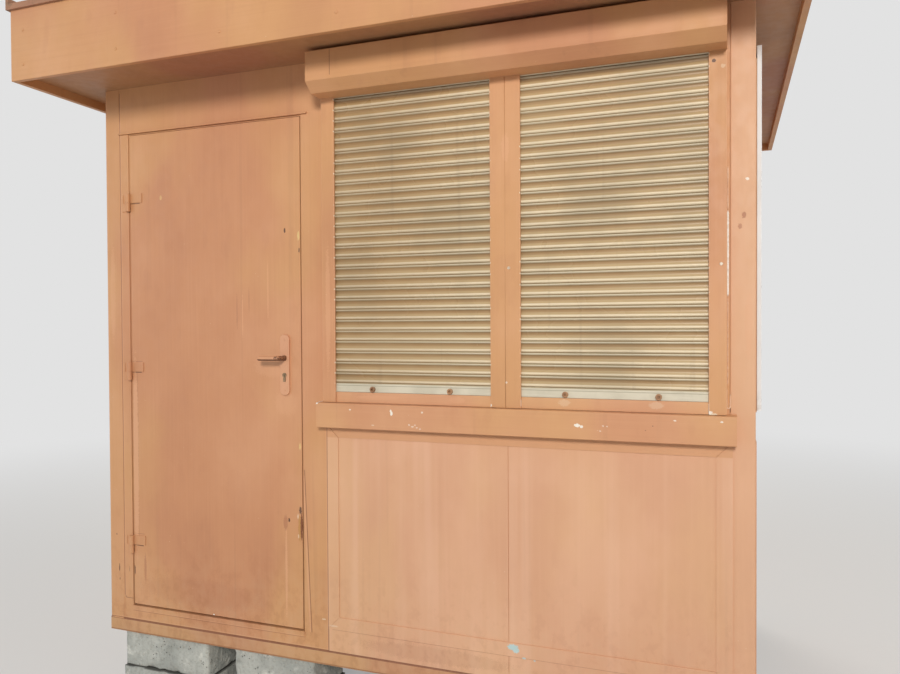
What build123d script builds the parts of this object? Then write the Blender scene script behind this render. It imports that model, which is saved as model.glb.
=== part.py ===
from build123d import *
from math import atan2, degrees
import os

os.makedirs("parts", exist_ok=True)

# Street kiosk of painted sheet steel on concrete blocks, with a hinged door and two
# roller shutters. Millimetres: +X runs right along the front, +Y from the front to the
# back, +Z up. The origin is on the ground under the middle of the roof.

# Body
body_width = 2500.0
body_depth = 1900.0
wall_thickness = 60.0
post_width = 74.0
post_radius = 5.0
header_height = 186.0

# Base of steel channels and the floor on it
base_height = 52.0
base_depth = 80.0
base_web = 6.0
joist_width = 50.0
joist_count = 5
floor_thickness = 25.0
floor_top = 400.0

# Concrete blocks in two courses
lower_block_height = 150.0
upper_block_height = 150.0
block_depth = 240.0
block_setback = 18.0
block_step = 6.0
block_radius = 14.0
block_inset = 54.0
outer_block_length = 420.0
block_gap = 122.0
inner_block_length = 360.0

# Roof and its overhangs
front_overhang = 310.0
back_overhang = 100.0
side_overhang = 150.0
ceiling_thickness = 18.0
fascia_thickness = 20.0
fascia_edge = 2.5
fascia_drop = 33.0
fascia_front_rise = 235.0
fascia_back_rise = 200.0
roof_lip = 12.0
roof_thickness = 22.0
seam_width = 14.0
seam_height = 22.0
seam_count = 4

# Doorway and door
stile_width = 44.0
doorway_width = 812.0
doorway_height = 1936.0
threshold_height = 61.0
threshold_lip_height = 20.0
threshold_lip = 3.0
door_gap = 7.0
door_thickness = 40.0
stop_gap = 5.0
stop_width = 20.0
drip_height = 5.0
drip_depth = 8.0
drip_reach = 25.0
door_post_width = 101.0
door_edge = 1.5

# Hinges on the left edge of the door
hinge_heights = (666.0, 1378.0, 2067.0)
barrel_radius = 9.0
barrel_clearance = 1.0
upper_knuckle = 38.0
lower_knuckle = 34.0
knuckle_gap = 1.0
pin_radius = 5.0
pin_clearance = 0.1
door_flap_width = 64.0
stile_flap_width = 32.0
flap_thickness = 3.0

# Lock and lever
handle_height = 1441.0
backset = 67.5
plate_width = 40.0
plate_above = 88.0
plate_below = 140.0
plate_thickness = 8.0
plate_radius = 18.0
plate_edge = 2.0
neck_radius = 10.0
neck_clearance = 0.5
lever_reach = 48.0
lever_length = 78.0
lever_radius = 9.0
lever_bend = 16.0
neck_stand = 6.0
spindle_width = 8.0
spindle_bore_radius = 11.0
cylinder_drop = 64.5
cylinder_radius = 8.5
cylinder_tail_width = 10.0
cylinder_tail = 24.0
cylinder_proud = 2.0
cylinder_clearance = 0.3
key_slot_width = 2.4
key_slot_height = 9.0
key_slot_depth = 6.0

# Shutters: guide rails, curtains, bottom bars and boxes
rail_width = 52.5
rail_depth = 30.0
rail_bend = 2.0
groove_width = 15.0
groove_depth = 34.0
shutter_margin = 8.0
window_bottom = 1321.0
window_height = 1064.0
slat_pitch = 38.0
slat_thickness = 6.0
slat_notch_low = 2.0
slat_notch = 1.5
lip_low = 6.0
lip_high = 14.0
lip_rise = 3.0
trough_high = 33.0
trough_fall = 1.5
bead_rise = 2.2
slat_back_bulge = 1.5
curtain_reach = 24.0
curtain_gap = 1.0
bar_height = 31.0
bar_thickness = 12.0
stud_spacing = 294.0
stud_radius = 10.0
stud_length = 9.0
stud_height = 12.0
stud_hollow_radius = 5.0
stud_hollow_depth = 7.0
stud_edge = 1.5
bar_edge = 3.0
box_size = 137.0
box_face_height = 104.0
box_bevel_run = 40.0
box_sheet = 2.0
box_end = 4.0
box_bend = 3.5
box_entry = 60.0
roll_radius = 40.0
roll_centre = 62.0

# Windows behind the shutters
frame_depth = 50.0
frame_member = 45.0
pane_thickness = 8.0

# Ledge, strip and panel under the windows
ledge_depth = 45.0
ledge_height = 92.5
ledge_top = 1284.0
ledge_left_overhang = 20.0
ledge_overhang = 28.0
ledge_sheet = 4.0
ledge_fall = 2.5
ledge_bend = 3.0
strip_depth = 22.0
sheet_thickness = 2.0
border_width = 48.0
border_lift = 3.0
border_foot = 86.0
border_head = 40.0
mitre_gap = 1.6
sheet_joint = 2.0
panel_lap = 9.0

# White board on the right wall
board_thickness = 14.0
board_bottom = 1290.0
board_top = 2420.0
board_setback = 74.0
board_length = 1200.0
board_edge = 2.0

# Levels and lines that follow from the sizes above
base_bottom = lower_block_height + upper_block_height
base_top = base_bottom + base_height
door_bottom = base_top + threshold_height
door_top = door_bottom + doorway_height
soffit = door_top + header_height
roof_width = body_width + 2 * side_overhang
roof_depth = body_depth + front_overhang + back_overhang
front_y = front_overhang - roof_depth / 2
back_y = front_y + body_depth
half_width = body_width / 2
inner_front_y = front_y + wall_thickness
inner_back_y = back_y - wall_thickness
stile_left = -half_width + post_width
doorway_left = stile_left + stile_width
doorway_right = doorway_left + doorway_width
panel_left = doorway_right + door_post_width
right_post_x = half_width - post_width
shutters_right = right_post_x - shutter_margin
module_width = (shutters_right - panel_left) / 2
window_width = module_width - 2 * rail_width
mullion_x = panel_left + module_width
window_top = window_bottom + window_height
window_lefts = (panel_left + rail_width, mullion_x + rail_width)


def block(x0, x1, y0, y1, z0, z1):
    # A straight member between two corners, added to the part that is open
    with BuildSketch(Plane.XY.offset(z0)) as foot:
        with Locations(((x0 + x1) / 2, (y0 + y1) / 2)):
            Rectangle(x1 - x0, y1 - y0)
    extrude(foot.sketch, amount=z1 - z0)


def bar(x0, x1, y0, y1, z0, z1):
    # A straight member as a piece of its own
    with BuildPart() as piece:
        block(x0, x1, y0, y1, z0, z1)
    return piece


def save(piece, name):
    piece.part.label = name
    export_step(piece.part, f"parts/{name}.step")


# Faces of the four walls: local x runs along the wall, local y up, and z out of it
front_face = Plane(origin=(0, front_y, 0), x_dir=(1, 0, 0), z_dir=(0, -1, 0))
back_face = Plane(origin=(0, back_y, 0), x_dir=(-1, 0, 0), z_dir=(0, 1, 0))
left_face = Plane(origin=(-half_width, 0, 0), x_dir=(0, -1, 0), z_dir=(-1, 0, 0))
right_face = Plane(origin=(half_width, 0, 0), x_dir=(0, 1, 0), z_dir=(1, 0, 0))


def rect(u0, u1, v0, v1, mode=Mode.ADD):
    # A rectangle between two corners, in the sketch that is open
    with Locations(((u0 + u1) / 2, (v0 + v1) / 2)):
        Rectangle(u1 - u0, v1 - v0, mode=mode)


def border(face, u0, u1, v0, v1, covered=0.0):
    # Flat strips round a panel, mitred at the corners; covered cuts the top strip short
    width = border_width
    corners = ((u0, v0, 1, 1), (u1, v0, -1, 1), (u1, v1, -1, -1), (u0, v1, 1, -1))
    with BuildSketch(face.offset(sheet_thickness)) as strips:
        rect(u0, u1, v0, v1)
        rect(u0 + width, u1 - width, v0 + width, v1 - width, Mode.SUBTRACT)
        for u, v, du, dv in corners:
            with Locations(Location((u + du * width / 2, v + dv * width / 2), degrees(atan2(dv, du)))):
                Rectangle(1.5 * width, mitre_gap, mode=Mode.SUBTRACT)
        if covered > 0:
            rect(u0 - 1, u1 + 1, v1 - covered, v1 + 1, Mode.SUBTRACT)
    extrude(strips.sketch, amount=border_lift)


def sheet(face, u0, u1, v0, v1, joints):
    # A thin cladding sheet with upright joints
    with BuildSketch(face) as sheets:
        rect(u0, u1, v0, v1)
        for u in joints:
            rect(u - sheet_joint / 2, u + sheet_joint / 2, v0, v1, Mode.SUBTRACT)
    extrude(sheets.sketch, amount=sheet_thickness)


# Concrete blocks: four stacks under the front channel and four under the back one
outer_block_centre = half_width - block_inset - outer_block_length / 2
inner_block_centre = outer_block_centre - (outer_block_length + inner_block_length) / 2 - block_gap
stacks = (
    (-outer_block_centre, outer_block_length),
    (-inner_block_centre, inner_block_length),
    (inner_block_centre, inner_block_length),
    (outer_block_centre, outer_block_length),
)


def course(side_y, inward, z0, height, step):
    # One course of blocks; step widens the block on every side
    depth = block_depth + 2 * step
    middle = side_y + inward * (block_setback + block_depth / 2)
    with BuildPart() as blocks:
        for x, length in stacks:
            with BuildSketch(Plane.XY.offset(z0)):
                with Locations((x, middle)):
                    Rectangle(length + 2 * step, depth)
            extrude(amount=height)
        fillet(blocks.edges().filter_by(Axis.Z), block_radius)
        fillet(blocks.faces().sort_by(Axis.Z)[-len(stacks):].edges(), block_radius * 0.6)
    return blocks


front_lower_blocks = course(front_y, 1, 0, lower_block_height, block_step)
front_upper_blocks = course(front_y, 1, lower_block_height, upper_block_height, 0)
back_lower_blocks = course(back_y, -1, 0, lower_block_height, block_step)
back_upper_blocks = course(back_y, -1, lower_block_height, upper_block_height, 0)


def channel(plane, length):
    # A steel channel, web outwards, drawn across and run along its length
    with BuildPart() as piece:
        with BuildSketch(plane):
            rect(0, base_depth, 0, base_height)
            rect(base_web, base_depth, base_web, base_height - base_web, Mode.SUBTRACT)
        extrude(amount=length)
    return piece


# The front and back channels run the whole width, the side ones fit between them
base_front_channel = channel(
    Plane(origin=(-half_width, front_y, base_bottom), x_dir=(0, 1, 0), z_dir=(1, 0, 0)), body_width)
base_back_channel = channel(
    Plane(origin=(half_width, back_y, base_bottom), x_dir=(0, -1, 0), z_dir=(-1, 0, 0)), body_width)
side_length = body_depth - 2 * base_depth
base_left_channel = channel(
    Plane(origin=(-half_width, back_y - base_depth, base_bottom), x_dir=(1, 0, 0), z_dir=(0, -1, 0)),
    side_length)
base_right_channel = channel(
    Plane(origin=(half_width, front_y + base_depth, base_bottom), x_dir=(-1, 0, 0), z_dir=(0, 1, 0)),
    side_length)

# Floor joists from channel to channel, and the deck on them
joist_span = body_width - 2 * base_depth - joist_width
deck_bottom = floor_top - floor_thickness
with BuildPart() as floor_joists:
    for number in range(joist_count):
        x = joist_span * (number / (joist_count - 1) - 0.5)
        block(x - joist_width / 2, x + joist_width / 2, front_y + base_depth, back_y - base_depth,
              base_bottom, deck_bottom)

inner_half = half_width - wall_thickness
with BuildPart() as floor_deck:
    block(-inner_half, inner_half, front_y + post_width, back_y - post_width, deck_bottom, floor_top)
    block(-right_post_x, right_post_x, inner_front_y, inner_back_y, deck_bottom, floor_top)

# Corner posts of rounded square tube, closed by the channels and the ceiling
def corner_posts(corners):
    with BuildPart() as posts:
        with BuildSketch(Plane.XY.offset(base_top)):
            for x, y in corners:
                with Locations((x * (half_width - post_width / 2), y)):
                    RectangleRounded(post_width, post_width, post_radius)
        extrude(amount=soffit - base_top)
    return posts


front_post_y = front_y + post_width / 2
back_post_y = back_y - post_width / 2
front_left_post = corner_posts(((-1, front_post_y),))
front_right_post = corner_posts(((1, front_post_y),))
back_posts = corner_posts(((-1, back_post_y), (1, back_post_y)))

# Side and back walls: a core flush with the posts, clad in sheets with bordered panels
side_u = body_depth - 2 * post_width
side_middle = (front_y + back_y) / 2
lower_panel = (base_top + border_foot, ledge_top - ledge_height)
upper_panel = (ledge_top, window_top)


def side_wall(face, x, middle):
    # middle is the wall's middle along the face's own x
    with BuildPart() as wall:
        block(x, x + wall_thickness, front_y + post_width, back_y - post_width, base_top, soffit)
        sheet(face, middle - side_u / 2, middle + side_u / 2, base_top, soffit, (middle,))
        for low, high in (lower_panel, upper_panel):
            border(face, middle - side_u / 2 + post_radius, middle + side_u / 2 - post_radius, low, high)
    return wall


left_wall = side_wall(left_face, -half_width, -side_middle)
right_wall = side_wall(right_face, half_width - wall_thickness, side_middle)

back_u = body_width - 2 * post_width
with BuildPart() as back_wall:
    block(-back_u / 2, back_u / 2, inner_back_y, back_y, base_top, soffit)
    sheet(back_face, -back_u / 2, back_u / 2, base_top, soffit, (0,))
    for side in (-1, 1):
        near = side * post_radius
        far = side * (back_u / 2 - post_radius)
        for low, high in (lower_panel, upper_panel):
            border(back_face, min(near, far), max(near, far), low, high)

# Front wall, split round the doorway: stile, post and header, with the stops behind the leaf
stop_front = front_y + door_thickness + stop_gap
with BuildPart() as hinge_stile:
    block(stile_left, doorway_left, front_y, inner_front_y, base_top, door_top)
    block(doorway_left, doorway_left + stop_width, stop_front, inner_front_y, door_bottom, door_top)

with BuildPart() as door_post:
    block(doorway_right, panel_left, front_y, inner_front_y, base_top, soffit)
    block(doorway_right - stop_width, doorway_right, stop_front, inner_front_y, door_bottom, door_top)

with BuildPart() as door_header:
    block(stile_left, doorway_right, front_y, inner_front_y, door_top, soffit)
    block(doorway_left + stop_width, doorway_right - stop_width, stop_front, inner_front_y,
          door_top - stop_width, door_top)
    block(stile_left, doorway_right + drip_reach, front_y - drip_depth, front_y,
          door_top, door_top + drip_height)

# Threshold with a small lip under the leaf
with BuildPart() as door_threshold:
    block(doorway_left, doorway_right, front_y, inner_front_y, base_top, door_bottom)
    block(doorway_left, doorway_right, front_y - threshold_lip, front_y,
          door_bottom - threshold_lip_height, door_bottom)

# Front wall under, between and over the windows
front_lower_wall = bar(panel_left, right_post_x, front_y, inner_front_y, base_top, window_bottom)
mullion_post = bar(
    mullion_x - rail_width, mullion_x + rail_width, front_y, inner_front_y, window_bottom, window_top)
window_header = bar(panel_left, right_post_x, front_y, inner_front_y, window_top, soffit)

# Bordered panel on the lower wall; its right edge laps over the corner post
ledge_bottom = ledge_top - ledge_height
hidden_head = border_width - border_head
with BuildPart() as front_lower_panel:
    sheet(front_face, panel_left, right_post_x + panel_lap, base_top, ledge_bottom, (mullion_x,))
    border(front_face, panel_left, right_post_x + panel_lap, base_top + border_foot,
           ledge_bottom + hidden_head, hidden_head)


def outline(points, x0, x1, mode=Mode.ADD):
    # An upright outline of (y, z) points, run along x
    with BuildSketch(Plane.YZ.offset(x0)) as section:
        with BuildLine():
            Polyline(*points, close=True)
        make_face()
    extrude(section.sketch, amount=x1 - x0, mode=mode)


def out(distance):
    # The y of something that stands this far out of the front wall
    return front_y - distance


# Ledge bent from sheet: top, front and a return underneath, closed at both ends
ledge_left = panel_left - ledge_left_overhang
ledge_right = shutters_right + ledge_overhang
ledge_points = (
    (out(0), ledge_bottom),
    (out(ledge_depth), ledge_bottom),
    (out(ledge_depth), ledge_top - ledge_fall),
    (out(0), ledge_top),
)
ledge_hollow = (
    (out(0), ledge_bottom + ledge_sheet),
    (out(ledge_depth - ledge_sheet), ledge_bottom + ledge_sheet),
    (out(ledge_depth - ledge_sheet), ledge_top - ledge_fall - ledge_sheet),
    (out(0), ledge_top - ledge_sheet),
)
with BuildPart() as sill_ledge:
    outline(ledge_points, ledge_left, ledge_right)
    fillet(sill_ledge.edges().filter_by(Axis.X).sort_by(Axis.Y)[:2], ledge_bend)
    outline(ledge_hollow, ledge_left + ledge_sheet, ledge_right - ledge_sheet, Mode.SUBTRACT)

# Strips that the closed curtains come down on
with BuildPart() as sill_strips:
    for left in window_lefts:
        block(left, left + window_width, out(strip_depth), out(0), ledge_top, window_bottom)


def guide_rail(outer_x, side):
    # A channel that is open towards its window; side is 1 where the window is to the right
    inner_x = outer_x + side * rail_width
    groove_x = inner_x - side * groove_depth
    middle = out(rail_depth / 2)
    with BuildSketch(Plane.XY.offset(ledge_top)) as section:
        rect(min(outer_x, inner_x), max(outer_x, inner_x), out(rail_depth), out(0))
        rect(min(groove_x, inner_x), max(groove_x, inner_x),
             middle - groove_width / 2, middle + groove_width / 2, Mode.SUBTRACT)
    extrude(section.sketch, amount=window_top - ledge_top)


def rail_pair(left):
    with BuildPart() as rails:
        guide_rail(left - rail_width, 1)
        guide_rail(left + window_width + rail_width, -1)
        fillet(rails.edges().filter_by(Axis.Z).group_by(Axis.Y)[0], rail_bend)
    return rails


left_guide_rails = rail_pair(window_lefts[0])
right_guide_rails = rail_pair(window_lefts[1])

# Curtain: dished slats whose lower lips stand out, from the bottom bar up into the box
curtain_bottom = window_bottom + bar_height
slat_count = int((window_top + box_entry - curtain_bottom) // slat_pitch) + 1
curtain_front = out(rail_depth / 2 + slat_thickness / 2)
curtain_back = out(rail_depth / 2 - slat_thickness / 2)


def slat_front(low):
    # Front of one slat, upwards: notch, rounded lip and shallow trough
    lip_foot = (curtain_front, low + lip_low)
    lip_head = (curtain_front - lip_rise / 2, low + lip_high)
    lip_middle = (curtain_front - lip_rise, low + (lip_low + lip_high) / 2)
    trough_middle = (curtain_front + trough_fall, low + (lip_high + trough_high) / 2)
    notch = (curtain_front + slat_notch, low + (slat_notch_low + lip_low) / 2)
    Polyline((curtain_front, low + slat_notch_low), notch, lip_foot)
    ThreePointArc(lip_foot, lip_middle, lip_head)
    ThreePointArc(lip_head, trough_middle, (curtain_front, low + trough_high))


def curtain(left):
    top = curtain_bottom + slat_count * slat_pitch
    with BuildPart() as slats:
        with BuildSketch(Plane.YZ.offset(left - curtain_reach)):
            with BuildLine():
                for number in range(slat_count):
                    low = curtain_bottom + number * slat_pitch
                    joint = low + slat_pitch
                    slat_front(low)
                    back_middle = (curtain_back + slat_back_bulge, low + slat_pitch / 2)
                    ThreePointArc((curtain_back, low), back_middle, (curtain_back, joint))
                    if joint < top:
                        bead_middle = (curtain_front - bead_rise, joint - slat_notch_low / 2)
                        ThreePointArc((curtain_front, low + trough_high), bead_middle,
                                      (curtain_front, joint + slat_notch_low))
                Polyline((curtain_front, curtain_bottom + slat_notch_low), (curtain_front, curtain_bottom),
                         (curtain_back, curtain_bottom))
                last = top - slat_pitch + trough_high
                Polyline((curtain_front, last), (curtain_front, top), (curtain_back, top))
            make_face()
        extrude(amount=window_width + 2 * curtain_reach)
    return slats


left_shutter_curtain = curtain(window_lefts[0])
right_shutter_curtain = curtain(window_lefts[1])


def bottom_bar(left):
    # End bar with rounded edges and two hollow locking studs
    middle_x = left + window_width / 2
    back = out(rail_depth / 2 - bar_thickness / 2)
    bar_front = back - bar_thickness
    stud_centre = (middle_x, bar_front, window_bottom + stud_height)
    stud_plane = Plane(origin=stud_centre, x_dir=(1, 0, 0), z_dir=(0, -1, 0))
    stud_places = ((-stud_spacing / 2, 0), (stud_spacing / 2, 0))
    with BuildPart() as end_bar:
        with BuildSketch(Plane.YZ.offset(left - curtain_reach)):
            with Locations(((back + bar_front) / 2, window_bottom + bar_height / 2)):
                RectangleRounded(bar_thickness, bar_height, bar_edge)
        extrude(amount=window_width + 2 * curtain_reach)
        with BuildSketch(stud_plane):
            with Locations(*stud_places):
                Circle(stud_radius)
        extrude(amount=stud_length)
        tips = end_bar.faces().filter_by(Axis.Y).sort_by(Axis.Y)[:2]
        fillet(tips.edges(), stud_edge)
        with BuildSketch(stud_plane.offset(stud_length)):
            with Locations(*stud_places):
                Circle(stud_hollow_radius)
        extrude(amount=-stud_hollow_depth, mode=Mode.SUBTRACT)
    return end_bar


left_bottom_bar = bottom_bar(window_lefts[0])
right_bottom_bar = bottom_bar(window_lefts[1])

# Shutter box: bevelled sheet housing with thicker ends and a slot for the curtain
box_top = window_top + box_size
box_face_bottom = box_top - box_face_height
box_points = (
    (out(0), window_top),
    (out(0), box_top),
    (out(box_size), box_top),
    (out(box_size), box_face_bottom),
    (out(box_size - box_bevel_run), window_top),
)


def shutter_box(left):
    right = left + module_width
    with BuildPart() as housing:
        outline(box_points, left, right)
        fillet(housing.edges().filter_by(Axis.X).sort_by(Axis.Y)[:3], box_bend)
        with BuildSketch(Plane.YZ.offset(left + box_end)):
            with BuildLine():
                Polyline(*box_points, close=True)
            make_face()
            offset(amount=-box_sheet, mode=Mode.REPLACE)
        extrude(amount=module_width - 2 * box_end, mode=Mode.SUBTRACT)
        middle = out(rail_depth / 2)
        with BuildSketch(Plane.XY.offset(window_top)):
            rect(left + rail_width - curtain_reach - curtain_gap,
                 right - rail_width + curtain_reach + curtain_gap,
                 middle - groove_width / 2, middle + groove_width / 2)
        extrude(amount=box_sheet, mode=Mode.SUBTRACT)
    return housing


left_shutter_box = shutter_box(panel_left)
right_shutter_box = shutter_box(mullion_x)

# The rest of each curtain, wound up inside its box
with BuildPart() as shutter_rolls:
    for left in (panel_left, mullion_x):
        with BuildSketch(Plane.YZ.offset(left + box_end)):
            with Locations((out(roll_centre), window_top + box_size / 2)):
                Circle(roll_radius)
        extrude(amount=module_width - 2 * box_end)


# Window frames in the wall behind the curtains, with a pane in each
def window_frame(x0, x1, left_member, right_member):
    with BuildPart() as frame:
        with BuildSketch(front_face):
            rect(x0, x1, window_bottom, window_top)
            rect(x0 + left_member, x1 - right_member,
                 window_bottom + frame_member, window_top - frame_member, Mode.SUBTRACT)
        extrude(amount=-frame_depth)
    return frame


right_stile = right_post_x - window_lefts[1] - window_width
left_window_frame = window_frame(panel_left, mullion_x - rail_width, rail_width, frame_member)
right_window_frame = window_frame(mullion_x + rail_width, right_post_x, frame_member, right_stile)
pane_front = front_y + (frame_depth - pane_thickness) / 2
with BuildPart() as window_panes:
    for x0, x1 in (
        (panel_left + rail_width, mullion_x - rail_width - frame_member),
        (mullion_x + rail_width + frame_member, right_post_x - right_stile),
    ):
        block(x0, x1, pane_front, pane_front + pane_thickness,
              window_bottom + frame_member, window_top - frame_member)

# White board over the window band of the right wall
board_face = half_width + sheet_thickness + border_lift
with BuildPart() as side_board:
    block(board_face, board_face + board_thickness, front_y + board_setback,
          front_y + board_setback + board_length, board_bottom, board_top)
    fillet(side_board.edges().filter_by(Axis.Z), board_edge)

# Ceiling that runs out as the soffit, fascias round it, and the roof that falls to the back
ceiling_top = soffit + ceiling_thickness
eave_x = roof_width / 2
eave_y = roof_depth / 2
ceiling_board = bar(-eave_x + fascia_thickness, eave_x - fascia_thickness,
                    -eave_y + fascia_thickness, eave_y - fascia_thickness, soffit, ceiling_top)


def roof_z(y):
    # Underside of the roof, which falls evenly from front to back
    share = (y + eave_y) / roof_depth
    return soffit + fascia_front_rise + share * (fascia_back_rise - fascia_front_rise)


def fascia(x0, x1, y0, y1):
    bottom = soffit - fascia_drop
    outline(((y0, bottom), (y1, bottom), (y1, roof_z(y1)), (y0, roof_z(y0))), x0, x1)


with BuildPart() as front_fascia:
    fascia(-eave_x, eave_x, -eave_y, -eave_y + fascia_thickness)
    fillet(front_fascia.edges().filter_by(Axis.X).sort_by(Axis.Z)[:2], fascia_edge)
with BuildPart() as back_fascia:
    fascia(-eave_x, eave_x, eave_y - fascia_thickness, eave_y)
    fillet(back_fascia.edges().filter_by(Axis.X).sort_by(Axis.Z)[:2], fascia_edge)
with BuildPart() as side_fascias:
    for x0 in (-eave_x, eave_x - fascia_thickness):
        fascia(x0, x0 + fascia_thickness, -eave_y + fascia_thickness, eave_y - fascia_thickness)

lip_y = eave_y + roof_lip
lip_x = eave_x + roof_lip


def roof_slab(x0, x1, rise, height):
    # A slab on the roof's slope, lifted by rise
    outline(((-lip_y, roof_z(-lip_y) + rise), (lip_y, roof_z(lip_y) + rise),
             (lip_y, roof_z(lip_y) + rise + height), (-lip_y, roof_z(-lip_y) + rise + height)), x0, x1)


with BuildPart() as roof_deck:
    roof_slab(-lip_x, lip_x, 0, roof_thickness)
    seam_span = 2 * lip_x - seam_width
    for number in range(seam_count + 2):
        x = seam_span * (number / (seam_count + 1) - 0.5)
        roof_slab(x - seam_width / 2, x + seam_width / 2, roof_thickness, seam_height)

# Door leaf, bored for the spindle and the lock cylinder
leaf_left = doorway_left + door_gap
leaf_right = doorway_right - door_gap
leaf_back = front_y + door_thickness
handle_x = leaf_right - backset
cylinder_z = handle_height - cylinder_drop
leaf_back_face = Plane(origin=(0, leaf_back, 0), x_dir=(-1, 0, 0), z_dir=(0, 1, 0))


def cylinder_shape(x, clearance, mode=Mode.ADD):
    # A round barrel with a narrow tail under it
    with Locations((x, cylinder_z)):
        Circle(cylinder_radius + clearance, mode=mode)
    rect(x - cylinder_tail_width / 2 - clearance, x + cylinder_tail_width / 2 + clearance,
         cylinder_z - cylinder_tail - clearance, cylinder_z, mode)


with BuildPart() as door_leaf:
    with BuildSketch(front_face):
        rect(leaf_left, leaf_right, door_bottom + door_gap, door_top - door_gap)
    extrude(amount=-door_thickness)
    chamfer(door_leaf.faces().sort_by(Axis.Y)[0].edges(), door_edge)
    with BuildSketch(front_face):
        with Locations((handle_x, handle_height)):
            Circle(spindle_bore_radius)
        cylinder_shape(handle_x, cylinder_clearance)
    extrude(amount=-door_thickness, mode=Mode.SUBTRACT)

# Long plates on both faces of the leaf
with BuildPart() as handle_plates:
    for face, x in ((front_face, handle_x), (leaf_back_face, -handle_x)):
        with BuildSketch(face):
            with Locations((x, handle_height + (plate_above - plate_below) / 2)):
                RectangleRounded(plate_width, plate_above + plate_below, plate_radius)
        extrude(amount=plate_thickness)
    plate_faces = handle_plates.faces().sort_by(Axis.Y)
    fillet(plate_faces[0].edges() + plate_faces[-1].edges(), plate_edge)
    for face, x in ((front_face, handle_x), (leaf_back_face, -handle_x)):
        with BuildSketch(face):
            with Locations((x, handle_height)):
                Circle(neck_radius + neck_clearance)
            cylinder_shape(x, cylinder_clearance)
        extrude(amount=plate_thickness, mode=Mode.SUBTRACT)

# Levers on one spindle: round necks that bend into grips pointing at the hinges
with BuildPart() as door_lever:
    for face_y, way in ((front_y, -1), (leaf_back, 1)):
        root = (handle_x, face_y, handle_height)
        knee = (handle_x, face_y + way * (plate_thickness + lever_reach), handle_height)
        tip = (handle_x - lever_length, knee[1], handle_height)
        with BuildLine():
            FilletPolyline(root, knee, tip, radius=lever_bend)
        with BuildSketch(Plane(origin=root, x_dir=(1, 0, 0), z_dir=(0, way, 0))):
            Circle(lever_radius)
        sweep()
        with Locations(tip):
            Sphere(lever_radius)
        with BuildSketch(Plane(origin=root, x_dir=(1, 0, 0), z_dir=(0, way, 0))):
            Circle(neck_radius)
        extrude(amount=plate_thickness + neck_stand)
    with BuildSketch(Plane(origin=(handle_x, front_y, handle_height), x_dir=(1, 0, 0), z_dir=(0, 1, 0))):
        Rectangle(spindle_width, spindle_width)
    extrude(amount=door_thickness)

# Lock cylinder through the leaf and both plates, with a key slot at each end
cylinder_end = plate_thickness + cylinder_proud
with BuildPart() as lock_cylinder:
    with BuildSketch(front_face.offset(cylinder_end)):
        cylinder_shape(handle_x, 0)
    extrude(amount=-(door_thickness + 2 * cylinder_end))
    for face, x in ((front_face, handle_x), (leaf_back_face, -handle_x)):
        with BuildSketch(face.offset(cylinder_end)):
            with Locations((x, cylinder_z)):
                Rectangle(key_slot_width, key_slot_height)
        extrude(amount=-key_slot_depth, mode=Mode.SUBTRACT)

# Hinges: the upper knuckle and its flap turn with the leaf on a pin in the lower knuckle
hinge_x = doorway_left + door_gap / 2
hinge_y = out(barrel_radius + barrel_clearance)


def barrel(low, high, radius, mode=Mode.ADD):
    with BuildSketch(Plane.XY.offset(low)) as ring:
        with Locations((hinge_x, hinge_y)):
            Circle(radius)
    extrude(ring.sketch, amount=high - low, mode=mode)


with BuildPart() as door_hinge_flaps:
    for height in hinge_heights:
        low = height + knuckle_gap / 2
        high = height + upper_knuckle
        barrel(low, high, barrel_radius)
        block(hinge_x, hinge_x + door_flap_width, out(flap_thickness), out(0), low, high)
        barrel(low, high, pin_radius + pin_clearance, Mode.SUBTRACT)

with BuildPart() as stile_hinge_flaps:
    for height in hinge_heights:
        low = height - lower_knuckle
        high = height - knuckle_gap / 2
        barrel(low, high, barrel_radius)
        block(hinge_x - stile_flap_width, hinge_x, out(flap_thickness), out(0), low, high)
        barrel(high, height + upper_knuckle, pin_radius)

pieces = {
    "front_lower_blocks": front_lower_blocks,
    "front_upper_blocks": front_upper_blocks,
    "back_lower_blocks": back_lower_blocks,
    "back_upper_blocks": back_upper_blocks,
    "base_front_channel": base_front_channel,
    "base_back_channel": base_back_channel,
    "base_left_channel": base_left_channel,
    "base_right_channel": base_right_channel,
    "floor_joists": floor_joists,
    "floor_deck": floor_deck,
    "front_left_post": front_left_post,
    "front_right_post": front_right_post,
    "back_posts": back_posts,
    "left_wall": left_wall,
    "right_wall": right_wall,
    "back_wall": back_wall,
    "hinge_stile": hinge_stile,
    "door_post": door_post,
    "door_header": door_header,
    "door_threshold": door_threshold,
    "front_lower_wall": front_lower_wall,
    "mullion_post": mullion_post,
    "window_header": window_header,
    "front_lower_panel": front_lower_panel,
    "sill_ledge": sill_ledge,
    "sill_strips": sill_strips,
    "left_guide_rails": left_guide_rails,
    "right_guide_rails": right_guide_rails,
    "left_shutter_curtain": left_shutter_curtain,
    "right_shutter_curtain": right_shutter_curtain,
    "left_bottom_bar": left_bottom_bar,
    "right_bottom_bar": right_bottom_bar,
    "left_shutter_box": left_shutter_box,
    "right_shutter_box": right_shutter_box,
    "shutter_rolls": shutter_rolls,
    "left_window_frame": left_window_frame,
    "right_window_frame": right_window_frame,
    "window_panes": window_panes,
    "side_board": side_board,
    "ceiling_board": ceiling_board,
    "front_fascia": front_fascia,
    "back_fascia": back_fascia,
    "side_fascias": side_fascias,
    "roof_deck": roof_deck,
    "door_leaf": door_leaf,
    "handle_plates": handle_plates,
    "door_lever": door_lever,
    "lock_cylinder": lock_cylinder,
    "door_hinge_flaps": door_hinge_flaps,
    "stile_hinge_flaps": stile_hinge_flaps,
}

for name, piece in pieces.items():
    save(piece, name)
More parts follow.
